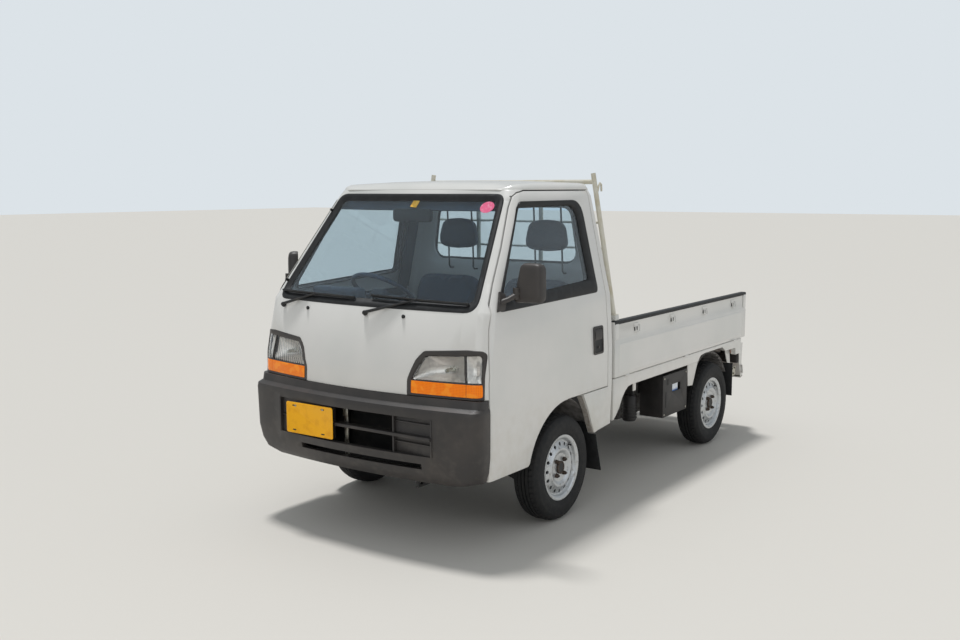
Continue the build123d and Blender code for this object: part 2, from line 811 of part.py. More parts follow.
with BuildPart() as rim:
    with BuildSketch(wheel_plane(0, 0)):
        with BuildLine():
            Polyline(*WHEEL_DISC, close=True)
        make_face()
    revolve(axis=Axis((0, 0, AXLE_Z), (1, 0, 0)))
    with BuildSketch(Plane.YZ.offset(10)):
        with Locations((0, AXLE_Z)):
            with PolarLocations(WHEEL_HOLE_PCR, WHEEL_HOLES):
                Circle(WHEEL_HOLE_R)
    extrude(amount=55, mode=Mode.SUBTRACT)
    with BuildSketch(Plane.YZ.offset(DRUM_BACK)):
        with Locations((0, AXLE_Z)):
            Circle(92)
    extrude(amount=16 - DRUM_BACK)
    with BuildSketch(Plane.YZ.offset(DRUM_BACK)):
        with Locations((0, AXLE_Z)):
            Circle(SPINDLE_BORE_R)
    extrude(amount=60, mode=Mode.SUBTRACT)

WHEELS = (
    ("front_left", 1, FRONT_AXLE_Y),
    ("front_right", -1, FRONT_AXLE_Y),
    ("rear_left", 1, REAR_AXLE_Y),
    ("rear_right", -1, REAR_AXLE_Y),
)

for place, side, axle_y in WHEELS:
    for piece, label in ((tyre, "tyre"), (rim, "rim")):
        with BuildPart() as wheel_piece:
            body = piece.part if side == 1 else piece.part.mirror(Plane.YZ)
            add(body.moved(Location((side * TRACK_HALF, axle_y, 0))))
        save(wheel_piece, f"{label}_{place}")

# Rear axle: a beam between the drums, with its brake plates and stub axles
BEAM_R = 36
BEAM_HALF = 522
STUB_END = 572

with BuildPart() as rear_axle:
    for radius, half in ((BEAM_R, BEAM_HALF), (98, BEAM_HALF + 8), (SPINDLE_R, STUB_END)):
        with BuildSketch(Plane.YZ.offset(-half)):
            with Locations((REAR_AXLE_Y, AXLE_Z)):
                Circle(radius)
        extrude(amount=2 * half if radius != 98 else 16)
    with BuildSketch(Plane.YZ.offset(BEAM_HALF - 8)):
        with Locations((REAR_AXLE_Y, AXLE_Z)):
            Circle(98)
    extrude(amount=16)
save(rear_axle, "rear_axle")

# Leaf springs: a shallow bow on each side, clamped on the axle and hung from the frame
SPRING_X = 400
SPRING_W = 50
SPRING_HALF = 395
SPRING_EYE_Z = 372
SPRING_SAG = SPRING_EYE_Z - AXLE_Z - BEAM_R
SPRING_T = 16

with BuildPart() as leaf_springs:
    for side in (-1, 1):
        with BuildSketch(Plane.YZ.offset(side * SPRING_X - SPRING_W / 2)):
            with BuildLine():
                start = (REAR_AXLE_Y - SPRING_HALF, SPRING_EYE_Z)
                end = (REAR_AXLE_Y + SPRING_HALF, SPRING_EYE_Z)
                low = (REAR_AXLE_Y, SPRING_EYE_Z - SPRING_SAG)
                ThreePointArc(start, low, end)
                Line(end, (end[0], end[1] + SPRING_T))
                ThreePointArc(
                    (end[0], end[1] + SPRING_T),
                    (low[0], low[1] + SPRING_T + 8),
                    (start[0], start[1] + SPRING_T),
                )
                Line((start[0], start[1] + SPRING_T), start)
            make_face()
        extrude(amount=SPRING_W)
        for eye_y in (REAR_AXLE_Y - SPRING_HALF, REAR_AXLE_Y + SPRING_HALF):
            with Locations((side * (RAIL_X_OUT + 40), eye_y, 420)):
                Box(80, 40, 110)
save(leaf_springs, "leaf_springs")

# Engine: one plain block between the rails, ahead of the rear axle
with BuildPart() as engine:
    with Locations((0, 790, 350)):
        Box(520, 420, 300)
    with Locations((0, 790, 460)):
        Box(2 * RAIL_X_IN, 80, 40)
save(engine, "engine")

with BuildPart() as exhaust:
    with BuildSketch(Plane.YZ.offset(-230)):
        with Locations((1400, 330)):
            Ellipse(90, 60)
    extrude(amount=420)
    with BuildSketch(Plane.XZ.offset(-1470)):
        with Locations((-180, 330)):
            Circle(20)
    extrude(amount=-110)
    with Locations((-20, 1322, 395)):
        Box(30, 16, 90)
save(exhaust, "exhaust")

with BuildPart() as fuel_tank:
    with Locations((-470, -60, 415)):
        Box(250, 400, 210)
    fillet(fuel_tank.edges().filter_by(Axis.Y), 35)
save(fuel_tank, "fuel_tank")

# Side box: a deep box hung under the left rail, with a small window in its outer wall
BOX_X = (500, 652)
BOX_Y = (398, 742)
BOX_Z = (296, 548)

with BuildPart() as side_box:
    with Locations((sum(BOX_X) / 2, sum(BOX_Y) / 2, sum(BOX_Z) / 2)):
        Box(BOX_X[1] - BOX_X[0], BOX_Y[1] - BOX_Y[0], BOX_Z[1] - BOX_Z[0])
    with Locations((sum(BOX_X) / 2 - 6, sum(BOX_Y) / 2, sum(BOX_Z) / 2)):
        Box(
            BOX_X[1] - BOX_X[0],
            BOX_Y[1] - BOX_Y[0] - 12,
            BOX_Z[1] - BOX_Z[0] - 12,
            mode=Mode.SUBTRACT,
        )
    with Locations((BOX_X[1], 585, 458)):
        Box(40, 114, 46, mode=Mode.SUBTRACT)
    with Locations((BOX_X[0] + 20, 470, 590)):
        Box(40, 40, 100)
    with Locations((BOX_X[0] + 20, 640, 571)):
        Box(40, 40, 62)
save(side_box, "side_box")

# Bed floor on five cross beams, which stand on the frame rails
BED_BEAM_Y = (-240, 220, 640, 1330, 1560)
BEAM_LOW_Z = 602
BEAM_TOP_Z = 640
RAIL_REST_Z = 515
RAIL_REST_X = 315

with BuildPart() as bed_floor:
    with Locations((0, (BED_WALL_Y + GATE_REAR_Y) / 2, BED_FLOOR_TOP_Z - BED_FLOOR_T / 2)):
        Box(2 * BED_HALF_INNER, GATE_REAR_Y - BED_WALL_Y, BED_FLOOR_T)
    for beam_y in BED_BEAM_Y:
        with Locations((0, beam_y, (BEAM_LOW_Z + BEAM_TOP_Z) / 2)):
            Box(2 * BED_HALF_INNER, 50, BEAM_TOP_Z - BEAM_LOW_Z)
        for rail_x in (-RAIL_REST_X, RAIL_REST_X):
            with Locations((rail_x, beam_y, (RAIL_REST_Z + BEAM_LOW_Z) / 2)):
                Box(50, 40, BEAM_LOW_Z - RAIL_REST_Z)
save(bed_floor, "bed_floor")

# Bed side rails, with the swept front end and the rear wheel's cut-out
BED_RAIL_OUTLINE = (
    (BED_FRONT_Y, RAIL_TOP_Z),
    (BED_FRONT_Y, 417),
    (-271, 439),
    (-232, 476),
    (-199, 525),
    (-165, 558),
    (-130, 577),
    (-92, RAIL_BOTTOM_Z),
    (822, RAIL_BOTTOM_Z),
    (858, 614),
    (922, 622),
    (1211, 622),
    (1266, 591),
    (1440, 589),
    (1448, 542),
    (1530, 542),
    (RAIL_REAR_Y, 556),
    (RAIL_REAR_Y, RAIL_TOP_Z),
)

with BuildPart() as bed_side_rails:
    with BuildSketch(Plane.YZ.offset(BED_HALF_INNER)):
        with BuildLine():
            Polyline(*BED_RAIL_OUTLINE, close=True)
        make_face()
    extrude(amount=RAIL_OUTER_X - BED_HALF_INNER)
    mirror(about=Plane.YZ)
save(bed_side_rails, "bed_side_rails")

# Bed front wall, and the guard frame that stands on its top beam
GUARD_FOOT_Z = 985
WALL_FOOT_Z = BED_FLOOR_TOP_Z - BED_FLOOR_T
WALL_BEAM_H = 28

with BuildPart() as bed_front_wall:
    with Locations((0, (BED_FRONT_Y + BED_WALL_Y) / 2, (WALL_FOOT_Z + GUARD_FOOT_Z) / 2)):
        Box(2 * BED_HALF_INNER, BED_WALL_Y - BED_FRONT_Y, GUARD_FOOT_Z - WALL_FOOT_Z)
    with Locations((0, GUARD_Y, GUARD_FOOT_Z - WALL_BEAM_H / 2)):
        Box(1380, 40, WALL_BEAM_H)
save(bed_front_wall, "bed_front_wall")

GUARD_FOOT_X = 668
GUARD_TOP_X = 534
GUARD_TUBE = 26
GUARD_BARS_Z = (1240, 1337, 1474)
GUARD_INNER_X = 208


def guard_x(z):
    """Centre of an outer post at a height: the posts lean in along the cab's sides."""
    share = (z - GUARD_FOOT_Z) / (GUARD_TOP_Z - GUARD_FOOT_Z)
    return GUARD_FOOT_X + (GUARD_TOP_X - GUARD_FOOT_X) * share


with BuildPart() as guard_frame:
    with BuildSketch(Plane.XZ.offset(-GUARD_Y - GUARD_TUBE / 2)):
        with BuildLine():
            Polyline(
                (GUARD_FOOT_X - GUARD_TUBE / 2, GUARD_FOOT_Z),
                (GUARD_FOOT_X + GUARD_TUBE / 2, GUARD_FOOT_Z),
                (GUARD_TOP_X + GUARD_TUBE / 2, GUARD_TOP_Z),
                (GUARD_TOP_X - GUARD_TUBE / 2, GUARD_TOP_Z),
                close=True,
            )
        make_face()
    extrude(amount=GUARD_TUBE)
    mirror(about=Plane.YZ)
    for post_x in (-GUARD_INNER_X, GUARD_INNER_X):
        with Locations((post_x, GUARD_Y, (GUARD_FOOT_Z + 1695) / 2)):
            Box(GUARD_TUBE, GUARD_TUBE - 4, 1695 - GUARD_FOOT_Z)
    with Locations((0, GUARD_Y, 1688)):
        Box(2 * guard_x(1688), GUARD_TUBE - 4, 24)
    for bar_z in GUARD_BARS_Z:
        with Locations((0, GUARD_Y, bar_z)):
            Box(2 * guard_x(bar_z), 14, 14)
save(guard_frame, "guard_frame")

# Gates: the outer band near the top is set in, as is the step's slope below it
GATE_BAND = 9
GATE_PROFILE = (
    (GATE_INNER_X, GATE_BOTTOM_Z),
    (GATE_OUTER_X, GATE_BOTTOM_Z),
    (GATE_OUTER_X, 836),
    (GATE_OUTER_X - GATE_BAND, 860),
    (GATE_OUTER_X - GATE_BAND, 934),
    (GATE_OUTER_X - 4, 938),
    (GATE_OUTER_X - 4, GATE_TOP_Z),
    (GATE_INNER_X, GATE_TOP_Z),
)

with BuildPart() as side_gate_left:
    with BuildSketch(Plane.XZ.offset(-BED_FRONT_Y)):
        with BuildLine():
            Polyline(*GATE_PROFILE, close=True)
        make_face()
    extrude(amount=-(GATE_REAR_Y - BED_FRONT_Y))
    for end_y in (BED_FRONT_Y + 14, GATE_REAR_Y - 14):
        with Locations((GATE_OUTER_X - 20, end_y, (GATE_BOTTOM_Z + GATE_TOP_Z) / 2)):
            Box(32, 28, GATE_TOP_Z - GATE_BOTTOM_Z)
save(side_gate_left, "side_gate_left")

with BuildPart() as side_gate_right:
    mirror(side_gate_left.part, about=Plane.YZ)
save(side_gate_right, "side_gate_right")

# Tailgate: drawn shut, then swung down to where it hangs, with a latch loop at each end
TAILGATE_HALF = 632
TAILGATE_HINGE = (1628, 643)
TAILGATE_SWING = 165
LOOP_R = 5
LOOP_REACH = 14
LOOP_Z = (868, 918)

with BuildPart() as tailgate:
    with BuildSketch(Plane.YZ.offset(-TAILGATE_HALF)):
        with BuildLine():
            Polyline(
                (TAILGATE_FRONT_Y, GATE_BOTTOM_Z),
                (TAILGATE_FRONT_Y + TAILGATE_T, GATE_BOTTOM_Z),
                (REAR_Y, 664),
                (REAR_Y, 836),
                (TAILGATE_FRONT_Y + TAILGATE_T, 860),
                (TAILGATE_FRONT_Y + TAILGATE_T, GATE_TOP_Z),
                (TAILGATE_FRONT_Y, GATE_TOP_Z),
                close=True,
            )
        make_face()
    extrude(amount=2 * TAILGATE_HALF)
    loop_y = TAILGATE_FRONT_Y + TAILGATE_T / 2
    for side in (-1, 1):
        for loop_z in LOOP_Z:
            with Locations((side * (TAILGATE_HALF + LOOP_REACH / 2), loop_y, loop_z)):
                Box(LOOP_REACH, 2 * LOOP_R, 2 * LOOP_R)
        with Locations((side * (TAILGATE_HALF + LOOP_REACH - LOOP_R), loop_y, sum(LOOP_Z) / 2)):
            Box(2 * LOOP_R, 2 * LOOP_R, LOOP_Z[1] - LOOP_Z[0])

with BuildPart() as tailgate_down:
    tailgate_axis = Axis((0, TAILGATE_HINGE[0], TAILGATE_HINGE[1]), (1, 0, 0))
    add(tailgate.part.rotate(tailgate_axis, -TAILGATE_SWING))
save(tailgate_down, "tailgate")

# Wheelhouses: an arched liner over each wheel
FRONT_LINER_R = 346
REAR_LINER_R = 330
LINER_T = 5

with BuildPart() as wheelhouses:
    for axle_y, radius, low_z in (
        (FRONT_AXLE_Y, FRONT_LINER_R, FLOOR_Z),
        (REAR_AXLE_Y, REAR_LINER_R, 430),
    ):
        for low_x in (360, -640):
            with BuildSketch(Plane.YZ.offset(low_x)):
                with Locations((axle_y, AXLE_Z)):
                    Circle(radius + LINER_T)
                    Circle(radius, mode=Mode.SUBTRACT)
                with Locations((axle_y, low_z - 400)):
                    Rectangle(1000, 800, mode=Mode.SUBTRACT)
            extrude(amount=280)
    with Locations((-500, FRONT_AXLE_Y, PLATFORM_Z - 5), (500, FRONT_AXLE_Y, PLATFORM_Z - 5)):
        Box(200, 60, 10)
    with Locations((-500, REAR_AXLE_Y, 620), (500, REAR_AXLE_Y, 620)):
        Box(200, 60, 40)
save(wheelhouses, "wheelhouses")

# Rear fittings: under-run bar, lamps, plate
with BuildPart() as rear_bar:
    with Locations((0, 1545, 412)):
        Box(1270, 50, 60)
    with Locations((-315, 1530, 460), (315, 1530, 460)):
        Box(50, 60, 110)
save(rear_bar, "rear_bar")

TAIL_LAMP_X = 571
TAIL_LAMP_Y = 1572
TAIL_LAMP_Z = 499

with BuildPart() as tail_lamps:
    for side in (-1, 1):
        with Locations((side * TAIL_LAMP_X, TAIL_LAMP_Y, TAIL_LAMP_Z)):
            Box(202, 76, 62)
        with Locations((side * TAIL_LAMP_X, TAIL_LAMP_Y - 12, TAIL_LAMP_Z + 67)):
            Box(60, 30, 72)
save(tail_lamps, "tail_lamps")

with BuildPart() as rear_plate:
    with BuildSketch(Plane.XZ.offset(-1586)):
        with Locations((0, 500)):
            RectangleRounded(PLATE_W, PLATE_H, PLATE_R)
    extrude(amount=PLATE_T)
    with Locations((-90, 1576, 560), (90, 1576, 560)):
        Box(30, 18, 84)
save(rear_plate, "rear_plate")

# Mud flaps behind the wheels. The front ones lean back and widen below the sill's tip
REAR_FLAP_Y = 1400
FRONT_FLAP_TOP = (-515, 442)
FRONT_FLAP_LEAN = 12.8
# Outline of the left front flap, as x and the distance above its foot
FRONT_FLAP = ((506, 0), (700, 0), (692, 205), (646, 205), (646, 268), (506, 268))
FLAP_T = 6

with BuildPart() as front_flap:
    with BuildSketch(Plane.XZ):
        with BuildLine():
            Polyline(*[(x, height - FRONT_FLAP[-1][1]) for x, height in FRONT_FLAP], close=True)
        make_face()
    extrude(amount=-FLAP_T)

with BuildPart() as mudflaps:
    hung = front_flap.part.rotate(Axis.X, FRONT_FLAP_LEAN).translate((0, *FRONT_FLAP_TOP))
    add(hung)
    add(hung.mirror(Plane.YZ))
    for side in (-1, 1):
        with Locations((side * 598, REAR_FLAP_Y, 380)):
            Box(180, FLAP_T, 220)
save(mudflaps, "mudflaps")

# Mirrors: a base and arm on each door. The left head stands out, the right one is folded back
MIRROR_W = 126
MIRROR_T = 55
MIRROR_H = 184
MIRROR_CENTRE = (781, -1272, 1236)
MIRROR_PIVOT = (712, -1290)
MIRROR_FOLD = 45
MIRROR_ARM_START = Vector(655, -1362, 1160)
MIRROR_ARM_END = Vector(735, -1284, 1205)

with BuildPart() as mirror_arm:
    with Locations((670, -1368, 1156)):
        Box(50, 56, 84)
    arm = MIRROR_ARM_END - MIRROR_ARM_START
    with BuildSketch(Plane(origin=MIRROR_ARM_START, z_dir=arm.normalized())):
        Rectangle(42, 26)
    extrude(amount=arm.length)
    add(cab_outer, mode=Mode.SUBTRACT)

with BuildPart() as mirror_head:
    with Locations(MIRROR_CENTRE):
        Box(MIRROR_W, MIRROR_T, MIRROR_H)
    fillet(mirror_head.edges().filter_by(Axis.Y), 22)

with BuildPart() as mirror_left:
    add(mirror_arm.part)
    add(mirror_head.part)
save(mirror_left, "mirror_left")

with BuildPart() as mirror_right:
    add(mirror_arm.part.mirror(Plane.YZ))
    fold_axis = Axis((-MIRROR_PIVOT[0], MIRROR_PIVOT[1], 0), (0, 0, 1))
    add(mirror_head.part.mirror(Plane.YZ).rotate(fold_axis, -MIRROR_FOLD))
save(mirror_right, "mirror_right")
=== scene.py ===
import json
import math

import bmesh
import bpy
from mathutils import Matrix, Vector
from mathutils.bvhtree import BVHTree


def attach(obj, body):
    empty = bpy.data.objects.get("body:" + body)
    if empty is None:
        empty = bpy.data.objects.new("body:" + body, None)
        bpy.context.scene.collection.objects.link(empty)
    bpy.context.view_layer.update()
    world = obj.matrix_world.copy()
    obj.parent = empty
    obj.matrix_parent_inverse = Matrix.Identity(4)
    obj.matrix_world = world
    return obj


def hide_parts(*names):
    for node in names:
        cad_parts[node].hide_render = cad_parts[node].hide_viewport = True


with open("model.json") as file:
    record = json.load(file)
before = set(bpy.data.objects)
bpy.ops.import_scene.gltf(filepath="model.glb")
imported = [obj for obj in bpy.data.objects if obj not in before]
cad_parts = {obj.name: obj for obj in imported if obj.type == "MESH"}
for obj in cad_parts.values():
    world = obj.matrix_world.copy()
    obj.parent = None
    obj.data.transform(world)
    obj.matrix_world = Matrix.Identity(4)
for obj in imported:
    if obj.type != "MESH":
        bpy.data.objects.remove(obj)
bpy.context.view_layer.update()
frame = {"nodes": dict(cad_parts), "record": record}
nodes = frame["nodes"]

# Places that the CAD gives
FRONT_AXLE = -0.7975
REAR_AXLE = 1.1025
AXLE_Z = 0.268
TRACK = 0.6025
SIDES = ((1, "left"), (-1, "right"))
WHEELS = (
    ("front_left", 1, FRONT_AXLE),
    ("front_right", -1, FRONT_AXLE),
    ("rear_left", 1, REAR_AXLE),
    ("rear_right", -1, REAR_AXLE),
)
# Cab sections. Columns: height, half width, y of the front, x and y of the corner, y of the side,
# y of the rear
CAB_SECTIONS = (
    (0.340, 0.688, -1.590, 0.628, -1.527, -1.440, -0.316),
    (0.640, 0.697, -1.609, 0.636, -1.533, -1.440, -0.316),
    (0.835, 0.6965, -1.600, 0.634, -1.526, -1.438, -0.316),
    (0.945, 0.691, -1.574, 0.626, -1.505, -1.430, -0.316),
    (1.106, 0.679, -1.527, 0.618, -1.470, -1.405, -0.316),
    (1.200, 0.657, -1.450, 0.5965, -1.401, -1.338, -0.318),
    (1.618, 0.566, -1.105, 0.501, -1.096, -1.040, -0.332),
    (1.650, 0.553, -1.080, 0.486, -1.070, -1.020, -0.345),
)
CORNER_BULGE = 0.155
# Places are typed about the middle of the truck's length with its tailgate shut. The shared
# origin is at the middle with the gate hanging, so each finished mesh is moved by this.
TO_FRAME = Matrix.Translation((0, -0.045, 0))


# Shading helpers
def srgb(code):
    """A colour written as #rrggbb, turned to linear RGBA."""
    parts = [int(code[i : i + 2], 16) / 255 for i in (1, 3, 5)]
    linear = [c / 12.92 if c <= 0.04045 else ((c + 0.055) / 1.055) ** 2.4 for c in parts]
    return (*linear, 1.0)


def add(tree, kind, settings=None, links=None):
    """Adds one node. Settings are inputs or attributes by name or number, links are sockets by input."""
    made = tree.nodes.new(kind)
    for key, value in (settings or {}).items():
        if isinstance(key, int) or key in made.inputs:
            made.inputs[key].default_value = value
        else:
            setattr(made, key, value)
    for key, socket in (links or {}).items():
        tree.links.new(socket, made.inputs[key])
    return made


def finish(name, colour, rough, **sockets):
    """A new material: its colour and roughness, and any further sockets of its shader."""
    made = bpy.data.materials.new(name)
    made.use_nodes = True
    shader = made.node_tree.nodes["Principled BSDF"]
    shader.inputs["Base Color"].default_value = srgb(colour)
    shader.inputs["Roughness"].default_value = rough
    for key, value in sockets.items():
        shader.inputs[key.replace("_", " ").title().replace("Ior", "IOR")].default_value = value
    made.diffuse_color = srgb(colour)
    return made


def mottle(tree, size_mm, detail=2.0, rough=0.5, stretch=(1, 1, 1)):
    """A noise value whose patches are about size_mm wide, in the piece's own metres."""
    where = add(tree, "ShaderNodeTexCoord").outputs["Object"]
    if stretch != (1, 1, 1):
        where = add(tree, "ShaderNodeMapping", {"Scale": stretch}, {"Vector": where}).outputs[0]
    return add(
        tree,
        "ShaderNodeTexNoise",
        {"Scale": 1000 / size_mm, "Detail": detail, "Roughness": rough},
        {"Vector": where},
    ).outputs["Fac"]


def remap(tree, value, low, high, to_low=0.0, to_high=1.0):
    """Spreads a value's part between low and high over another range."""
    settings = {"From Min": low, "From Max": high, "To Min": to_low, "To Max": to_high}
    return add(tree, "ShaderNodeMapRange", settings, {"Value": value}).outputs[0]


def tint(made, other, factor):
    """Mixes a second colour into what the material's colour is so far."""
    tree = made.node_tree
    shader = tree.nodes["Principled BSDF"]
    target = shader.inputs["Base Color"]
    mix = add(tree, "ShaderNodeMix", {"data_type": "RGBA"}, {0: factor})
    if target.is_linked:
        tree.links.new(target.links[0].from_socket, mix.inputs[6])
    else:
        mix.inputs[6].default_value = target.default_value
    mix.inputs[7].default_value = srgb(other)
    tree.links.new(mix.outputs[2], target)


def relief(made, height, depth_mm):
    """Bumps the material by a height value, depth_mm deep at its full range."""
    tree = made.node_tree
    shader = tree.nodes["Principled BSDF"]
    bump = add(tree, "ShaderNodeBump", {"Distance": depth_mm / 1000, "Strength": 1.0}, {"Height": height})
    if shader.inputs["Normal"].is_linked:
        tree.links.new(shader.inputs["Normal"].links[0].from_socket, bump.inputs["Normal"])
    tree.links.new(bump.outputs[0], shader.inputs["Normal"])


def height_above(tree, low, high):
    """1 at the low height and 0 at the high one."""
    where = add(tree, "ShaderNodeTexCoord").outputs["Object"]
    split = add(tree, "ShaderNodeSeparateXYZ", links={"Vector": where})
    return remap(tree, split.outputs["Z"], low, high, 1.0, 0.0)


def times(tree, first, second):
    """The product of two values."""
    return add(tree, "ShaderNodeMath", {"operation": "MULTIPLY"}, {0: first, 1: second}).outputs[0]


def ribs(tree, axis, pitch_mm):
    """A smooth 0 to 1 wave along one axis of the piece, one crest each pitch_mm."""
    where = add(tree, "ShaderNodeTexCoord").outputs["Object"]
    split = add(tree, "ShaderNodeSeparateXYZ", links={"Vector": where})
    turned = add(
        tree,
        "ShaderNodeMath",
        {"operation": "MULTIPLY", 1: 2 * math.pi * 1000 / pitch_mm},
        {0: split.outputs[axis]},
    )
    wave = add(tree, "ShaderNodeMath", {"operation": "SINE"}, {0: turned.outputs[0]})
    return remap(tree, wave.outputs[0], -1, 1)


def patches(made, colour, size_mm, detail, low, high, share=1.0):
    """Tints patches about size_mm wide: none below a noise of low, the full share above high."""
    tree = made.node_tree
    tint(made, colour, remap(tree, mottle(tree, size_mm, detail), low, high, 0.0, share))


def grain(made, size_mm, detail, depth_mm):
    """Bumps the material with a grain about size_mm wide."""
    relief(made, mottle(made.node_tree, size_mm, detail), depth_mm)


def crossed(made, pitch_mm):
    """A square pattern of rows crossed with columns, as of moulded prisms or of a plain weave."""
    tree = made.node_tree
    return times(tree, ribs(tree, "X", pitch_mm), ribs(tree, "Z", pitch_mm))


# Finishes, each named for what the real surface is
# Sprayed acrylic enamel on steel: a hard gloss over a faint orange peel, dusty near the road
enamel = finish("sprayed_white_enamel", "#DEDCD8", 0.3, coat_weight=0.6, coat_roughness=0.06)
patches(enamel, "#D3D3CF", 420, 3, 0.4, 0.75)
dust = times(
    enamel.node_tree,
    height_above(enamel.node_tree, 0.30, 0.75),
    remap(enamel.node_tree, mottle(enamel.node_tree, 60, 5), 0.35, 0.75, 0.05, 0.45),
)
tint(enamel, "#B3A894", dust)
grain(enamel, 5, 1, 0.02)

# The same enamel on the bed: scuffed and duller from loads
bed_enamel = finish("scuffed_white_enamel", "#D3D4D2", 0.42, coat_weight=0.2, coat_roughness=0.2)
scuffs = remap(bed_enamel.node_tree, mottle(bed_enamel.node_tree, 25, 6, 0.7, (1, 0.08, 1)), 0.56, 0.66)
tint(bed_enamel, "#9C9A94", scuffs)
patches(bed_enamel, "#B9B4A6", 180, 4, 0.5, 0.8)
grain(bed_enamel, 5, 1, 0.02)

# Brushed-on cream enamel: softer gloss, with thin yellowed patches
cream = finish("brushed_cream_enamel", "#D2CEC0", 0.38, coat_weight=0.3, coat_roughness=0.15)
patches(cream, "#C3BBA4", 70, 4, 0.45, 0.7)
grain(cream, 6, 2, 0.05)

# Moulded polypropylene: dark, even, with a leathery spark-eroded grain, drawn 2.4 mm coarse to show
moulded = finish("grained_polypropylene", "#343130", 0.45, ior=1.49)
patches(moulded, "#413C39", 160, 4, 0.4, 0.7)
tint(moulded, "#5C5750", times(
    moulded.node_tree,
    height_above(moulded.node_tree, 0.3, 0.7),
    remap(moulded.node_tree, mottle(moulded.node_tree, 40, 5), 0.5, 0.8, 0.0, 0.5),
))
grain(moulded, 2.4, 2, 0.12)

# The side box's and air cleaner's polypropylene: the bumper's grain, painted darker than its own colour as
# shade under the bed
under_bed_shade_plastic = finish("polypropylene_painted_bed_shade", "#1F1D1D", 0.5, ior=1.49)
patches(under_bed_shade_plastic, "#302C2A", 120, 4, 0.45, 0.75)
grain(under_bed_shade_plastic, 2.4, 2, 0.12)

# Extruded EPDM rubber: matt black with a faint bloom
seal_rubber = finish("extruded_epdm_rubber", "#111214", 0.55)
patches(seal_rubber, "#1F2022", 30, 3, 0.45, 0.7)
grain(seal_rubber, 2, 2, 0.03)

# Tyre compound: grey-black, dusted brown where it meets the road
tyre_rubber = finish("tyre_compound", "#101113", 0.72)
patches(tyre_rubber, "#302D2A", 22, 5, 0.45, 0.75, 0.5)
grain(tyre_rubber, 3, 3, 0.1)

# Silver lacquer on pressed steel: metallic flake with brake dust in its patches
silver = finish("silver_lacquered_steel", "#C2C5C7", 0.34, metallic=0.75, coat_weight=0.3)
patches(silver, "#7E7468", 18, 5, 0.55, 0.8, 0.8)
grain(silver, 1.5, 2, 0.02)

# Black chassis paint on hot-rolled steel: satin, with road dust and scale
chassis = finish("black_chassis_paint", "#1B1B1C", 0.5)
tint(chassis, "#4A443C", remap(chassis.node_tree, mottle(chassis.node_tree, 45, 6, 0.6), 0.5, 0.8, 0, 0.7))
grain(chassis, 4, 4, 0.12)

# Sand-cast alloy and iron of the engine
cast_metal = finish("sand_cast_alloy", "#6B6A68", 0.6, metallic=0.7)
patches(cast_metal, "#3A332C", 30, 6, 0.45, 0.7)
grain(cast_metal, 1.6, 3, 0.25)

# Aluminised steel of the muffler: dull grey with heat-browned patches
aluminised = finish("aluminised_steel", "#8A8781", 0.48, metallic=0.9)
patches(aluminised, "#5B3F2A", 35, 6, 0.5, 0.75)

# Zinc-plated fixings: pale, slightly yellow passivation
zinc = finish("zinc_plated_steel", "#BDBBB2", 0.38, metallic=1.0)
patches(zinc, "#8B7F5E", 8, 3, 0.5, 0.75)

# Phosphated steel of the nuts and the hub: dark, with a brown bloom of rust
rusty = finish("phosphated_steel", "#3F3B38", 0.6, metallic=0.5)
patches(rusty, "#6A5546", 3, 4, 0.45, 0.65)
grain(rusty, 2, 4, 0.2)

# Woven polyester seat cloth: blue-grey, thread pairs drawn 3 mm apart so that they show
cloth = finish("woven_polyester_cloth", "#2C4159", 0.9, sheen_weight=0.25, sheen_roughness=0.5)
weave = crossed(cloth, 3.0)
tint(cloth, "#1E3046", weave)
patches(cloth, "#374E66", 14, 3, 0.5, 0.75, 0.6)
relief(cloth, weave, 0.4)

# Embossed vinyl on the seats' sides and the headrests' backs
vinyl = finish("embossed_vinyl", "#20354C", 0.55, sheen_weight=0.1)
patches(vinyl, "#293F57", 60, 3, 0.4, 0.7)
grain(vinyl, 2.2, 2, 0.15)

# Moulded ABS inside the cab: blue-grey, matt, fine grain
abs_trim = finish("moulded_abs", "#203345", 0.6, ior=1.54)
patches(abs_trim, "#2B4052", 120, 3, 0.4, 0.7)
grain(abs_trim, 1.6, 2, 0.08)

# Pressed headliner card and painted inner steel, pale grey
liner = finish("pressed_headliner", "#A9ADAE", 0.85)
grain(liner, 4, 3, 0.2)

# Blow-moulded polyethylene of the tank in the side box: milky, blue at its foot
canister = finish("blow_moulded_polyethylene", "#E8EDF2", 0.45)
tint(canister, "#3F6FB5", height_above(canister.node_tree, 0.436, 0.452))
grain(canister, 12, 2, 0.3)

# Pale grey and lumpy, darker than the enamel: painted shade on the panels' returns behind the front wheels
return_shade_grey = finish("painted_return_shade", "#A8A29B", 0.8)
patches(return_shade_grey, "#857D76", 18, 4, 0.4, 0.7)
grain(return_shade_grey, 5, 3, 0.3)

# Polyethylene wheelhouse liner: grey under a film of road dust
dusty_liner = finish("dusted_polyethylene_liner", "#7C7977", 0.75)
patches(dusty_liner, "#565350", 35, 4, 0.4, 0.7)
grain(dusty_liner, 4, 2, 0.1)

# Ribbed rubber floor mat
mat_rubber = finish("ribbed_floor_mat", "#26282B", 0.8)
patches(mat_rubber, "#4B463E", 50, 5, 0.5, 0.8, 0.6)
relief(mat_rubber, ribs(mat_rubber.node_tree, "X", 8.0), 0.8)

# Tempered float glass: almost clear, tinted faintly blue as a painted reflection of the sky
glass = finish("tempered_float_glass", "#DCEAF2", 0.0, transmission_weight=1.0, ior=1.45)

# Headlamp glass and its vacuum-metallised reflector, whose warm cream colour is a painted reflection
lens_glass = finish("fluted_lamp_glass", "#F4F7F8", 0.02, transmission_weight=1.0, ior=1.3)
reflector = finish("metallised_reflector", "#EDE4DC", 0.32, metallic=0.6)
relief(reflector, ribs(reflector.node_tree, "X", 22.0), 0.6)
mirror_glass = finish("silvered_glass", "#C8CCCF", 0.03, metallic=1.0)

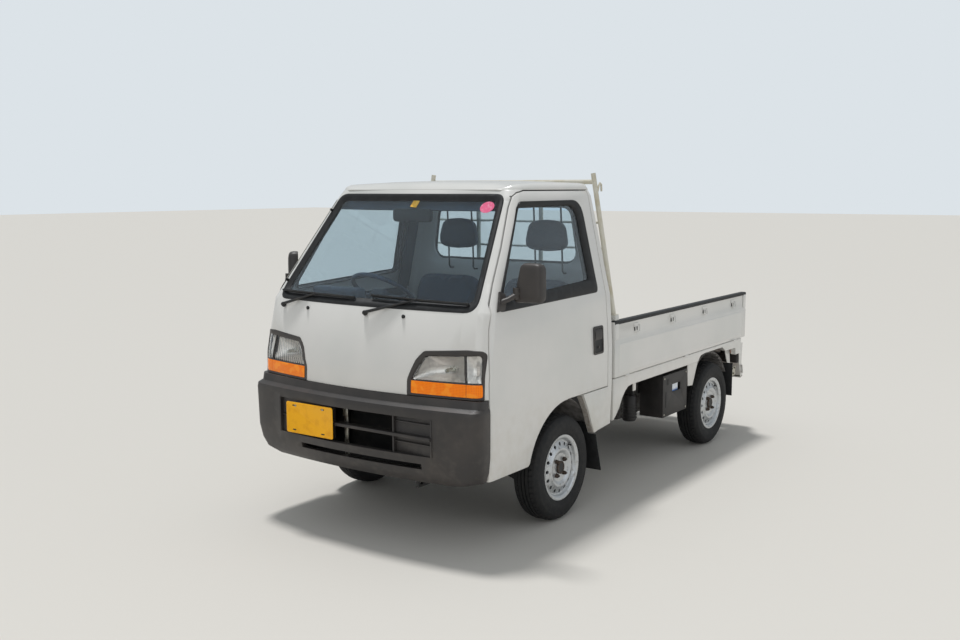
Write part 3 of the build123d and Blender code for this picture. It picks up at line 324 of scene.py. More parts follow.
# Acrylic indicator and tail lenses, prismed behind each LENS_PITCH millimetres
LENS_PITCH = 7.0
# The amber lens glows faintly orange, painted light, and its paler patches are painted highlights
amber = finish(
    "amber_acrylic", "#F58200", 0.2, coat_weight=0.15, specular_ior_level=0.25, emission_strength=0.16
)
amber.node_tree.nodes["Principled BSDF"].inputs["Emission Color"].default_value = srgb("#FF7C00")
tint(amber, "#D65F00", crossed(amber, LENS_PITCH))
patches(amber, "#FFA629", 45, 1, 0.52, 0.6, 0.5)
relief(amber, crossed(amber, LENS_PITCH), 0.5)
red_lens = finish("red_acrylic", "#A3150F", 0.12, coat_weight=0.8)
tint(red_lens, "#6B0B08", crossed(red_lens, LENS_PITCH))
relief(red_lens, ribs(red_lens.node_tree, "X", LENS_PITCH), 0.4)

# Reflective plate enamel on pressed aluminium
plate_yellow = finish("yellow_plate_enamel", "#FFB814", 0.4, coat_weight=0.1, specular_ior_level=0.25)
patches(plate_yellow, "#F0A60E", 40, 4, 0.5, 0.75)
grain(plate_yellow, 8, 2, 0.05)
sticker_pink = finish("pink_vinyl_sticker", "#E8638C", 0.5)
patches(sticker_pink, "#F2A3BA", 12, 3, 0.55, 0.7)
sticker_yellow = finish("yellow_paper_label", "#E9B52E", 0.6)
patches(sticker_yellow, "#F0CE73", 8, 3, 0.5, 0.7)


# Shape helpers
def arc_points(start, middle, end, count):
    """Points on the circle through three flat points, from start to end."""
    (ax, ay), (bx, by), (cx, cy) = start, middle, end
    d = 2 * (ax * (by - cy) + bx * (cy - ay) + cx * (ay - by))
    a2, b2, c2 = ax * ax + ay * ay, bx * bx + by * by, cx * cx + cy * cy
    ux = (a2 * (by - cy) + b2 * (cy - ay) + c2 * (ay - by)) / d
    uy = (a2 * (cx - bx) + b2 * (ax - cx) + c2 * (bx - ax)) / d
    radius = math.hypot(ax - ux, ay - uy)
    first = math.atan2(ay - uy, ax - ux)
    last = math.atan2(cy - uy, cx - ux)
    through = math.atan2(by - uy, bx - ux)
    sweep = (last - first) % (2 * math.pi)
    if (through - first) % (2 * math.pi) > sweep:
        sweep -= 2 * math.pi
    steps = [first + sweep * i / count for i in range(count + 1)]
    return [(ux + radius * math.cos(t), uy + radius * math.sin(t)) for t in steps]


def cab_ring(row):
    """One level of the cab's outer skin, from a row of CAB_SECTIONS."""
    z, half, front_y, corner_x, corner_y, side_y, rear_y = row
    corner, side = (corner_x, corner_y), (half, side_y)
    dx, dy = side[0] - corner[0], side[1] - corner[1]
    swell = (
        (corner[0] + side[0]) / 2 + dy * CORNER_BULGE,
        (corner[1] + side[1]) / 2 - dx * CORNER_BULGE,
    )
    ring = arc_points((-corner_x, corner_y), (0, front_y), corner, 24)
    ring += arc_points(corner, swell, side, 10)[1:]
    ring += [(half, rear_y - 0.03), (half - 0.009, rear_y - 0.009), (half - 0.03, rear_y)]
    ring += [(-x, y) for x, y in reversed(ring[25:])]
    return [Vector((x, y, z)) for x, y in ring]


skin_rows = [cab_ring(row) for row in CAB_SECTIONS]
skin_count = len(skin_rows[0])
skin_faces = [
    tuple((r + up) * skin_count + (i + along) % skin_count for up, along in ((0, 0), (0, 1), (1, 1), (1, 0)))
    for r in range(len(skin_rows) - 1)
    for i in range(skin_count)
]
skin = BVHTree.FromPolygons([p for row in skin_rows for p in row], skin_faces)


def on_front(x, z, lift=0.0):
    """The point of the cab's front skin at x and z, moved out by lift."""
    hit, normal, _, _ = skin.ray_cast(Vector((x, -3, z)), Vector((0, 1, 0)))
    normal = normal if normal.y < 0 else -normal
    return hit + normal * lift


def on_flank(y, z, lift=0.0, side=1):
    """The point of the cab's side skin at y and z, moved out by lift."""
    hit, normal, _, _ = skin.ray_cast(Vector((2 * side, y, z)), Vector((-side, 0, 0)))
    normal = normal if normal.x * side > 0 else -normal
    return hit + normal * lift


def on_back(x, z, lift=0.0):
    """The point of the cab's rear skin at x and z, moved out by lift."""
    hit, normal, _, _ = skin.ray_cast(Vector((x, 1, z)), Vector((0, -1, 0)))
    normal = normal if normal.y > 0 else -normal
    return hit + normal * lift


def circle(radius, count, middle=(0, 0), high=None):
    """Points of a circle, or of an oval whose upright half axis is high."""
    turns = [2 * math.pi * k / count for k in range(count)]
    tall = radius if high is None else high
    return [(middle[0] + radius * math.cos(t), middle[1] + tall * math.sin(t)) for t in turns]


def box_corners(x, y, far_x, far_y):
    """The corners of a flat rectangle, from (x, y) along x first."""
    return ((x, y), (far_x, y), (far_x, far_y), (x, far_y))


def rounded(corners, radius, steps=6):
    """A closed flat outline with its corners rounded."""
    points = []
    count = len(corners)
    for i in range(count):
        here = Vector(corners[i])
        before = Vector(corners[i - 1]) - here
        after = Vector(corners[(i + 1) % count]) - here
        bend = before.angle(after)
        size = radius[i] if isinstance(radius, (list, tuple)) else radius
        reach = min(size / math.tan(bend / 2), before.length * 0.49, after.length * 0.49)
        start = here + before.normalized() * reach
        end = here + after.normalized() * reach
        for k in range(steps + 1):
            t = k / steps
            points.append(start * (1 - t) ** 2 + here * 2 * t * (1 - t) + end * t * t)
    return points


def dense(outline, step):
    """The same closed outline, with points added so that none are further apart than step."""
    points = []
    for i, here in enumerate(outline):
        there = outline[(i + 1) % len(outline)]
        parts = max(1, math.ceil((there - here).length / step))
        points += [here.lerp(there, k / parts) for k in range(parts)]
    return points


def sided(side, low, high):
    """A box's low and high corners, typed for the left side, on the side asked for."""
    near, far = sorted((side * low[0], side * high[0]))
    return (near, *low[1:]), (far, *high[1:])


def placed(name, data):
    """A new object of the scene, made of this data."""
    made = bpy.data.objects.new(name, data)
    bpy.context.scene.collection.objects.link(made)
    return made


def baked(name, bm):
    """Turns a bmesh into a mesh and frees it."""
    mesh = bpy.data.meshes.new(name)
    bm.to_mesh(mesh)
    bm.free()
    return mesh


def evaluated(thing):
    """A plain mesh of what an object's modifiers make of it."""
    return bpy.data.meshes.new_from_object(thing.evaluated_get(bpy.context.evaluated_depsgraph_get()))


class Piece:
    """Gathers shapes into one mesh, which then rides on a body."""

    def __init__(self, name, body, slot, *finishes):
        self.name, self.body, self.slot = name, body, slot
        self.finishes = finishes
        self.paint = 0
        self.bm = bmesh.new()

    def faces(self, points, faces):
        """Adds points, and faces that list them by number. A face that is there already is left out."""
        made = [self.bm.verts.new(p) for p in points]
        for face in faces:
            try:
                new = self.bm.faces.new([made[i] for i in face])
            except ValueError:
                continue
            new.material_index = self.paint

    def grid(self, rows, round_ring=True, round_rows=False):
        """Skins rows of points. Each row is a ring, unless round_ring is off."""
        count = len(rows[0])
        points = [p for row in rows for p in row]
        faces = []
        for r in range(len(rows) if round_rows else len(rows) - 1):
            after = (r + 1) % len(rows)
            for i in range(count if round_ring else count - 1):
                j = (i + 1) % count
                faces.append((r * count + i, r * count + j, after * count + j, after * count + i))
        if round_ring and not round_rows:
            faces.append(tuple(range(count - 1, -1, -1)))
            faces.append(tuple((len(rows) - 1) * count + i for i in range(count)))
        self.faces(points, faces)

    def block(self, low, high, edge=0.002, segments=2, turn=None):
        """A box with rounded edges between two corners, turned about its middle if asked."""
        low, high = Vector(low), Vector(high)
        middle = (low + high) / 2
        size = high - low
        made = bmesh.ops.create_cube(self.bm, size=1)["verts"]
        for v in made:
            v.co = Vector((v.co.x * size.x, v.co.y * size.y, v.co.z * size.z)) + middle
        edges = list({e for v in made for e in v.link_edges})
        bevelled = bmesh.ops.bevel(
            self.bm, geom=edges, offset=min(edge, min(size) * 0.45), segments=segments, profile=0.5,
            affect="EDGES"
        )
        verts = set(bevelled["verts"]) | {v for v in made if v.is_valid}
        for face in {f for v in verts for f in v.link_faces}:
            face.material_index = self.paint
        if turn is not None:
            for v in verts:
                v.co = turn @ (v.co - middle) + middle
        return list(verts)

    def rod(self, path, radius, sides=12, closed=False, flat=1.0):
        """A round bar along a path of points."""
        path = [Vector(p) for p in path]
        count = len(path)
        rows = []
        up = None
        for i, here in enumerate(path):
            before = path[i - 1] if (i or closed) else here
            after = path[(i + 1) % count] if (i < count - 1 or closed) else here
            along = (after - before).normalized()
            if up is None:
                up = Vector((0, 0, 1)) if abs(along.z) < 0.9 else Vector((1, 0, 0))
            across = along.cross(up).normalized()
            up = across.cross(along).normalized()
            size = radius[i] if isinstance(radius, (list, tuple)) else radius
            rows.append([
                here + (across * math.cos(t) + up * flat * math.sin(t)) * size
                for t in (2 * math.pi * k / sides for k in range(sides))
            ])
        self.grid(rows, round_rows=closed)

    def lathe(self, profile, origin, axis, steps=48, closed=True):
        """Turns a profile of (radius, along) about an axis. A closed profile makes a ring."""
        origin, axis = Vector(origin), Vector(axis).normalized()
        side = axis.orthogonal().normalized()
        other = axis.cross(side)
        rows = []
        for k in range(steps):
            t = 2 * math.pi * k / steps
            out = side * math.cos(t) + other * math.sin(t)
            rows.append([origin + out * r + axis * a for r, a in profile])
        self.grid(rows, round_ring=closed, round_rows=True)

    def prism(self, outline, depth, place):
        """A flat outline given thickness: place(u, v, lift) puts its points in space."""
        rows = [[place(p[0], p[1], lift) for p in outline] for lift in depth]
        self.grid(rows)

    def band(self, outer, inner, stations, place):
        """A closed moulding between two matching outlines. Stations are (share, lift)."""
        rows = []
        for a, b in zip(outer, inner):
            rows.append([place(*(a.lerp(b, share)), lift) for share, lift in stations])
        self.grid(rows, round_rows=True)

    def slab(self, spot, columns, rows, top, bottom):
        """A thin closed patch. spot(u, v, lift) gives its points; top and bottom are lifts or functions."""
        def lift(which, u, v):
            return which(u, v) if callable(which) else which

        front, back = [], []
        for j in range(rows + 1):
            for i in range(columns + 1):
                u, v = i / columns, j / rows
                front.append(spot(u, v, lift(top, u, v)))
                back.append(spot(u, v, lift(bottom, u, v)))
        wide = columns + 1
        base = len(front)
        faces = []
        for j in range(rows):
            for i in range(columns):
                a = j * wide + i
                faces.append((a, a + 1, a + wide + 1, a + wide))
                faces.append((base + a, base + a + wide, base + a + wide + 1, base + a + 1))
        rim = list(range(wide))
        rim += [j * wide + columns for j in range(1, rows + 1)]
        rim += [rows * wide + i for i in range(columns - 1, -1, -1)]
        rim += [j * wide for j in range(rows - 1, 0, -1)]
        for k, a in enumerate(rim):
            b = rim[(k + 1) % len(rim)]
            faces.append((a, base + a, base + b, b))
        self.faces(front + back, faces)

    def done(self, angle=35, replaces=()):
        """Closes the piece: faces turned outward, moved to the shared origin, and settled on its body."""
        bmesh.ops.recalc_face_normals(self.bm, faces=self.bm.faces[:])
        mesh = baked(self.name, self.bm)
        mesh.transform(TO_FRAME)
        return settle(self.name, mesh, self.body, self.slot, self.finishes, angle, replaces)


def settle(name, mesh, body, slot, finishes, angle=35, replaces=()):
    """Makes an object of a mesh, smooths it below an edge angle, gives its finishes and rides it."""
    mesh.polygons.foreach_set("use_smooth", [True] * len(mesh.polygons))
    mesh.set_sharp_from_angle(angle=math.radians(angle))
    # Clearing sets every face back to the first finish, so a mesh without finishes is left alone
    if mesh.materials:
        mesh.materials.clear()
    for made in finishes:
        mesh.materials.append(made)
    piece = placed(name, mesh)
    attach(piece, body)
    if replaces:
        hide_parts(*replaces)
    return piece


def body_of(node):
    """The body that carries a CAD node."""
    for name, members in frame["record"]["behaviour"]["bodies"].items():
        if node in members:
            return name


def slot_of(node):
    """The material slot that the record gives a CAD node."""
    return next(s["material_slot"] for s in frame["record"]["subparts"] if s["node"] == node)


def eased(node, made, width_mm=2.5, angle=40, smooth=30, without=()):
    """Shows a CAD node as a copy of its mesh: doubles merged, some boxes cut away, sharp edges rounded."""
    work = bmesh.new()
    work.from_mesh(nodes[node].data)
    bmesh.ops.remove_doubles(work, verts=work.verts[:], dist=0.00002)
    bmesh.ops.dissolve_limit(
        work, angle_limit=math.radians(0.6), verts=work.verts[:], edges=work.edges[:]
    )
    holder = placed(node + "_holder", baked(node + "_skin", work))
    cutters = []
    for low, high in without:
        low, high = Vector(low), Vector(high)
        size = Matrix.Diagonal((*(high - low), 1))
        work = bmesh.new()
        bmesh.ops.create_cube(work, size=1, matrix=TO_FRAME @ Matrix.Translation((low + high) / 2) @ size)
        cutters.append(placed(node + "_cutter", baked(node + "_cutter", work)))
        cut = holder.modifiers.new("cut", "BOOLEAN")
        cut.object = cutters[-1]
    rounding = holder.modifiers.new("rounding", "BEVEL")
    rounding.width = width_mm / 1000
    rounding.segments = 2
    rounding.limit_method = "ANGLE"
    rounding.angle_limit = math.radians(angle)
    rounding.miter_outer = "MITER_ARC"
    rounding.use_clamp_overlap = True
    result = evaluated(holder)
    for helper in (holder, *cutters):
        bpy.data.objects.remove(helper)
    settle(node + "_skin", result, body_of(node), slot_of(node), (made,), smooth, (node,))


# Camera, as the photograph's was worked out to be
CAMERA_SPOT = (3.230, -5.1615, 1.661)
CAMERA_YAW = 35.08
CAMERA_PITCH = 7.3
CAMERA_ROLL = -0.14
CAMERA_LENS = 38.76

camera_data = bpy.data.cameras.new("camera")
camera_data.lens = CAMERA_LENS
camera_data.sensor_width = 36
camera_data.clip_end = 200
camera = placed("camera", camera_data)
camera.matrix_world = (
    TO_FRAME
    @ Matrix.Translation(CAMERA_SPOT)
    @ Matrix.Rotation(math.radians(CAMERA_YAW), 4, "Z")
    @ Matrix.Rotation(math.radians(90 - CAMERA_PITCH), 4, "X")
    @ Matrix.Rotation(math.radians(CAMERA_ROLL), 4, "Z")
)
bpy.context.scene.camera = camera

# Floor, lights and world
floor_mesh = bpy.data.meshes.new("floor")
floor_mesh.from_pydata([(-60, -60, 0), (60, -60, 0), (60, 60, 0), (-60, 60, 0)], [], [(0, 1, 2, 3)])
floor = placed("floor", floor_mesh)
floor_mesh.materials.append(finish("pale_studio_floor", "#CFCBC4", 0.85))


def area_light(name, spot, aim, size, power, colour="#FFFFFF"):
    """A soft rectangular light at a spot, aimed at a point."""
    data = bpy.data.lights.new(name, "AREA")
    data.shape = "RECTANGLE"
    data.size, data.size_y = size
    data.energy = power
    data.color = srgb(colour)[:3]
    lamp = placed(name, data)
    lamp.matrix_world = (
        Matrix.Translation(spot)
        @ (Vector(aim) - Vector(spot)).to_track_quat("-Z", "Y").to_matrix().to_4x4()
    )


area_light("front_fill", (2.5, -8.0, 3.5), (0, -0.5, 0.8), (6.0, 4.0), 60)
area_light("side_fill", (8.0, 1.0, 3.0), (0.5, 0, 0.7), (6.0, 4.0), 40, "#F2F6FF")
overhead_data = bpy.data.lights.new("overhead", "SUN")
overhead_data.energy = 2.1
overhead_data.angle = math.radians(9)
overhead = placed("overhead", overhead_data)
overhead.matrix_world = Vector((0.23, -0.11, -1)).to_track_quat("-Z", "Y").to_matrix().to_4x4()

world = bpy.data.worlds.new("studio")
bpy.context.scene.world = world
world.use_nodes = True
world_tree = world.node_tree
backdrop = world_tree.nodes["Background"]
backdrop.inputs["Color"].default_value = srgb("#E6ECF0")
backdrop.inputs["Strength"].default_value = 0.56
seen = add(world_tree, "ShaderNodeBackground", {"Color": srgb("#DCE3E8"), "Strength": 1.0})
path = add(world_tree, "ShaderNodeLightPath")
either = add(
    world_tree, "ShaderNodeMath", {"operation": "MAXIMUM"},
    {0: path.outputs["Is Camera Ray"], 1: path.outputs["Is Transmission Ray"]},
)
choice = add(
    world_tree, "ShaderNodeMixShader",
    links={0: either.outputs[0], 1: backdrop.outputs[0], 2: seen.outputs[0]},
)
world_tree.links.new(choice.outputs[0], world_tree.nodes["World Output"].inputs["Surface"])
bpy.context.scene.view_settings.view_transform = "Standard"

# The inner wall ends at the windscreen pillars' feet: the strips behind them, under the windows, go
PILLAR_STRIP = ((0.61, -1.285, 1.055), (0.66, -0.990, 1.175))
eased("cab_front_panel", enamel, without=[sided(side, *PILLAR_STRIP) for side in (1, -1)])

# CAD panels with their edges rounded
for node, made, width in (
    ("cab_rear_wall", enamel, 2.5),
    ("cab_side_left", enamel, 2.5),
    ("cab_side_right", enamel, 2.5),
    ("cab_roof", enamel, 2.0),
    ("cab_floor", mat_rubber, 2.0),
    ("door_left", enamel, 2.5),
    ("door_right", enamel, 2.5),
    ("front_bumper", moulded, 4.0),
    ("bed_floor", bed_enamel, 2.0),
    ("bed_side_rails", enamel, 3.0),
    ("bed_front_wall", bed_enamel, 3.0),
    ("side_gate_left", enamel, 2.0),
    ("side_gate_right", enamel, 2.0),
    ("tailgate", enamel, 2.0),
    ("dashboard", abs_trim, 6.0),
    ("steering_column", abs_trim, 3.0),
    ("frame", chassis, 4.0),
    ("front_suspension", chassis, 3.0),
    ("knuckle_left", chassis, 2.0),
    ("knuckle_right", chassis, 2.0),
    ("rear_axle", chassis, 3.0),
    ("leaf_springs", chassis, 2.0),
    ("engine", cast_metal, 8.0),
    ("exhaust", aluminised, 4.0),
    ("fuel_tank", chassis, 4.0),
    # The side box's plastic is painted darker as shade under the bed
    ("side_box", under_bed_shade_plastic, 3.0),
    ("rear_bar", chassis, 4.0),
    ("mudflaps", seal_rubber, 1.0),
    ("wheelhouses", dusty_liner, 1.5),
):
    eased(node, made, width)

for node in ("windscreen", "rear_window", "door_glass_left", "door_glass_right"):
    nodes[node].data.materials.clear()
    nodes[node].data.materials.append(glass)


def matched(outer, inner, step):
    """Two outlines of equal count, both divided alike so that no gap is longer than step."""
    first, second = [], []
    count = len(outer)
    for i in range(count):
        j = (i + 1) % count
        parts = max(1, math.ceil(max((outer[j] - outer[i]).length, (inner[j] - inner[i]).length) / step))
        first += [outer[i].lerp(outer[j], k / parts) for k in range(parts)]
        second += [inner[i].lerp(inner[j], k / parts) for k in range(parts)]
    return first, second


def quad(corners):
    """Turns u and v from 0 to 1 into a place between four corners, listed clockwise from the top left."""
    tl, tr, br, bl = (Vector(c) for c in corners)

    def place(u, v):
        return tl.lerp(tr, u).lerp(bl.lerp(br, u), v)

    return place


def dome(t):
    """1 in the middle of the range from 0 to 1, and 0 at its ends."""
    return max(0.0, 1 - (2 * t - 1) ** 2)


def over(surface, place):
    """The spot function of a slab that lays a quad's places on a surface."""
    return lambda u, v, lift: surface(*place(u, v), lift)


# Windscreen rubber: a wide moulding from the panel down onto the glass
RUBBER = (
    (0.0, -0.002),
    (0.0, 0.001),
    (0.12, 0.0055),
    (0.42, 0.006),
    (0.55, 0.003),
    (0.85, -0.004),
    (1.0, -0.0072),
    (1.0, -0.009),
    (0.5, -0.009),
)
# The doors' moulding stays proud of the panel until it drops onto the glass
DOOR_RUBBER = (
    (0.0, -0.002),
    (0.0, 0.001),
    (0.08, 0.0048),
    (0.5, 0.0052),
    (0.80, 0.0040),
    (0.88, 0.001),
    (1.0, -0.0072),
    (1.0, -0.009),
    (0.5, -0.009),
)
windscreen_rubber = Piece("windscreen_rubber", "truck", "black_rubber", seal_rubber)
outer = rounded(((-0.618, 1.108), (0.618, 1.108), (0.515, 1.631), (-0.515, 1.631)), 0.055)
inner = rounded(((-0.578, 1.148), (0.578, 1.148), (0.483, 1.600), (-0.483, 1.600)), 0.035)
windscreen_rubber.band(*matched(outer, inner, 0.02), RUBBER, on_front)
REVEAL = ((0, -0.0135), (0, -0.0315), (1, -0.0315), (1, -0.0135))
outer = rounded(((-0.599, 1.125), (0.599, 1.125), (0.501, 1.617), (-0.501, 1.617)), 0.04)
inner = rounded(((-0.593, 1.131), (0.593, 1.131), (0.496, 1.611), (-0.496, 1.611)), 0.038)
windscreen_rubber.band(*matched(outer, inner, 0.02), REVEAL, on_front)
windscreen_rubber.done()

rear_rubber = Piece("rear_window_rubber", "truck", "black_rubber", seal_rubber)
outer = rounded(((-0.500, 1.238), (0.500, 1.238), (0.454, 1.578), (-0.454, 1.578)), 0.085)
inner = rounded(((-0.472, 1.264), (0.472, 1.264), (0.428, 1.552), (-0.428, 1.552)), 0.06)
rear_rubber.band(*matched(outer, inner, 0.02), RUBBER, on_back)
rear_rubber.done()

# The door's seam on the flank, as y and z, from the bumper over the top to the front arch
DOOR_SEAM = (
    (-1.471, 0.420), (-1.471, 0.797), (-1.460, 0.951), (-1.447, 1.038), (-1.415, 1.146), (-1.354, 1.234),
    (-1.241, 1.386), (-1.113, 1.569), (-1.077, 1.613), (-1.043, 1.634), (-0.990, 1.644), (-0.386, 1.644),
    (-0.386, 0.622), (-0.640, 0.622),
)

for side, label in SIDES:
    body = f"door_{label}_body"

    def flank(y, z, lift=0.0, side=side):
        return on_flank(y, z, lift, side)

    # Door window moulding, deep along the belt line
    moulding = Piece(f"door_window_moulding_{label}", body, "black_rubber", seal_rubber)
    outer = rounded(
        ((-1.400, 1.108), (-1.060, 1.596), (-0.474, 1.598), (-0.458, 1.124)), (0.03, 0.05, 0.09, 0.03)
    )
    inner = rounded(
        ((-1.338, 1.156), (-1.072, 1.568), (-0.530, 1.570), (-0.522, 1.196)), (0.02, 0.05, 0.08, 0.02)
    )
    moulding.band(*matched(outer, inner, 0.02), DOOR_RUBBER, flank)
    outer = rounded(((-1.3500, 1.1450), (-1.0775, 1.5760), (-0.5160, 1.5790), (-0.5090, 1.1845)), 0.030)
    inner = rounded(((-1.3400, 1.1500), (-1.0740, 1.5710), (-0.5210, 1.5740), (-0.5140, 1.1900)), 0.028)
    moulding.band(
        *matched(outer, inner, 0.02), ((0, -0.0135), (0, -0.0425), (1, -0.0425), (1, -0.0135)), flank
    )
    moulding.done()

    # Black strip in the door's gap, set in from the paint: painted shade in the gap
    seam = Piece(f"door_seal_{label}", "truck", "black_rubber", seal_rubber)
    line = dense([Vector(p) for p in DOOR_SEAM], 0.03)[
        : -round(math.dist(DOOR_SEAM[-1], DOOR_SEAM[0]) / 0.03)
    ]
    rows = []
    for k, here in enumerate(line):
        along = (line[min(k + 1, len(line) - 1)] - line[max(k - 1, 0)]).normalized()
        inward = Vector((along.y, -along.x))
        rows.append([
            flank(*(here + inward * across), lift)
            for across, lift in ((0.0008, -0.0035), (0.0052, -0.0035), (0.0052, -0.014), (0.0008, -0.014))
        ])
    seam.grid(rows)
    seam.done()

    # Handle: a recessed cup behind a flap, in a raised frame
    handle = Piece(f"door_handle_{label}", body, "grey_plastic", moulded, seal_rubber)
    outer = rounded(box_corners(-0.541, 0.951, -0.435, 0.805), 0.016)
    inner = rounded(box_corners(-0.529, 0.939, -0.447, 0.817), 0.010)
    handle.band(
        *matched(outer, inner, 0.03),
        ((0, -0.002), (0, 0.003), (0.3, 0.0045), (0.9, 0.004), (1.0, 0.0), (1.0, -0.002)), flank,
    )
    handle.paint = 1
    cup = quad(box_corners(-0.530, 0.940, -0.446, 0.816))
    handle.slab(over(flank, cup), 6, 8, 0.0006, -0.003)
    handle.paint = 0
    flap = quad(box_corners(-0.525, 0.935, -0.451, 0.880))
    handle.slab(
        over(flank, flap), 8, 8,
        lambda u, v: 0.002 + 0.0035 * math.sin(math.pi * v) ** 0.5, 0.0,
    )
    handle.lathe(
        ((0.0001, 0.004), (0.006, 0.004), (0.0075, 0.002), (0.0075, -0.002), (0.0001, -0.002)),
        flank(-0.488, 0.842, 0.001), (side, 0, 0), 20, closed=False,
    )
    handle.done()

    # Inner trim card with an armrest and the window winder
    card = Piece(f"door_card_{label}", body, "interior_plastic", abs_trim, vinyl, moulded)
    area = quad(box_corners(-1.36, 1.085, -0.41, 0.68))
    card.slab(
        over(flank, area), 24, 12, -0.041,
        lambda u, v: -0.047 - 0.003 * (0.25 < v < 0.75),
    )
    post = quad(((-0.497, 1.630), (-0.396, 1.630), (-0.394, 1.085), (-0.492, 1.085)))
    card.slab(over(flank, post), 5, 16, -0.0405, -0.048)
    card.paint = 1
    rest = quad(box_corners(-1.10, 0.90, -0.62, 0.84))
    card.slab(
        over(flank, rest), 16, 8, -0.045,
        lambda u, v: -0.052 - 0.035 * math.sin(math.pi * v) ** 0.6,
    )
    card.paint = 2
    hub = flank(-1.20, 0.80, -0.050)
    elbow = hub + Vector((-side * 0.03, 0.05, -0.08))
    card.rod([hub, hub + Vector((-side * 0.025, 0, 0))], 0.016, 16)
    card.rod([hub + Vector((-side * 0.025, 0, 0)), elbow], 0.007, 10)
    card.rod([elbow, hub + Vector((-side * 0.062, 0.05, -0.08))], [0.009, 0.012], 12)
    card.done()

# Headlamps: bezel, fluted main lens, corner lens, amber strip, and what shows behind them
for side, label in SIDES:
    def front(x, z, lift=0.0, side=side):
        return on_front(side * x, z, lift)

    bezel = Piece(f"headlamp_bezel_{label}", "truck", "grey_plastic", moulded, seal_rubber)
    outline = (
        (0.313, 0.731), (0.679, 0.731), (0.679, 0.947), (0.600, 0.950), (0.386, 0.934), (0.348, 0.892),
        (0.313, 0.802),
    )
    opening = (
        (0.335, 0.743), (0.673, 0.743), (0.666, 0.928), (0.600, 0.923), (0.397, 0.912), (0.367, 0.872),
        (0.335, 0.803),
    )
    outer = rounded(outline, (0.012, 0.004, 0.030, 0.05, 0.030, 0.05, 0.05))
    inner = rounded(opening, (0.010, 0.012, 0.022, 0.05, 0.022, 0.04, 0.04))
    bezel.band(
        *matched(outer, inner, 0.02),
        (
            (0, -0.012), (0, 0.0005), (0.12, 0.0025), (0.6, 0.0015), (0.9, -0.002), (1.0, -0.006),
            (1.0, -0.028), (0.5, -0.028),
        ),
        front,
    )
    for corners in (
        ((0.334, 0.803), (0.672, 0.805), (0.672, 0.796), (0.334, 0.795)),
        ((0.585, 0.923), (0.591, 0.923), (0.608, 0.800), (0.602, 0.800)),
        ((0.602, 0.797), (0.607, 0.797), (0.609, 0.743), (0.604, 0.743)),
    ):
        bar = quad(corners)
        bezel.slab(over(front, bar), 24, 4, -0.002, -0.024)
    bezel.paint = 1
    bowl = quad(box_corners(0.300, 0.95, 0.684, 0.735))
    bezel.slab(over(front, bowl), 30, 10, -0.100, -0.104)
    bezel.done()

    main = quad(((0.398, 0.916), (0.588, 0.925), (0.605, 0.801), (0.335, 0.801)))
    corner = quad(((0.589, 0.925), (0.668, 0.930), (0.673, 0.803), (0.606, 0.801)))
    strips = (
        quad(((0.334, 0.799), (0.605, 0.799), (0.606, 0.741), (0.334, 0.741))),
        quad(((0.607, 0.799), (0.674, 0.799), (0.674, 0.741), (0.608, 0.741))),
    )
    mirrors = Piece(f"headlamp_reflector_{label}", "truck", "wheel_steel", reflector, zinc)
    mirrors.slab(
        over(front, main), 28, 20,
        lambda u, v: -0.018 - 0.070 * dome(u) ** 0.7 * dome(v) ** 0.7,
        -0.098,
    )
    mirrors.slab(
        over(front, corner), 12, 16,
        lambda u, v: -0.018 - 0.030 * dome(u) * dome(v),
        -0.060,
    )
    mirrors.paint = 1
    bulb = front(0.50, 0.858, -0.040)
    mirrors.lathe(
        (
            (0.0001, 0.022), (0.006, 0.020), (0.009, 0.012), (0.009, -0.03), (0.014, -0.032), (0.014, -0.045),
            (0.0001, -0.045),
        ),
        bulb, (0, -1, 0), 24, closed=False,
    )
    mirrors.done()

    lens = Piece(f"headlamp_lens_{label}", "truck", "lamp_lens", lens_glass)
    lens.slab(
        over(front, main), 90, 10, -0.0035,
        lambda u, v: -0.0075 - 0.0016 * abs(math.sin(math.pi * 15 * u)),
    )
    lens.slab(
        over(front, corner), 30, 24, -0.0035,
        lambda u, v: -0.0075 - 0.0012 * abs(math.sin(math.pi * 9 * v)),
    )
    lens.done(angle=60)

    signal = Piece(f"indicator_lens_{label}", "truck", "red_lens", amber)
    for strip in strips:
        signal.slab(
            over(front, strip), 40, 8, lambda u, v: -0.002 + 0.002 * math.sin(math.pi * v) ** 0.5, -0.020
        )
    signal.done()

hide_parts("front_lamps")


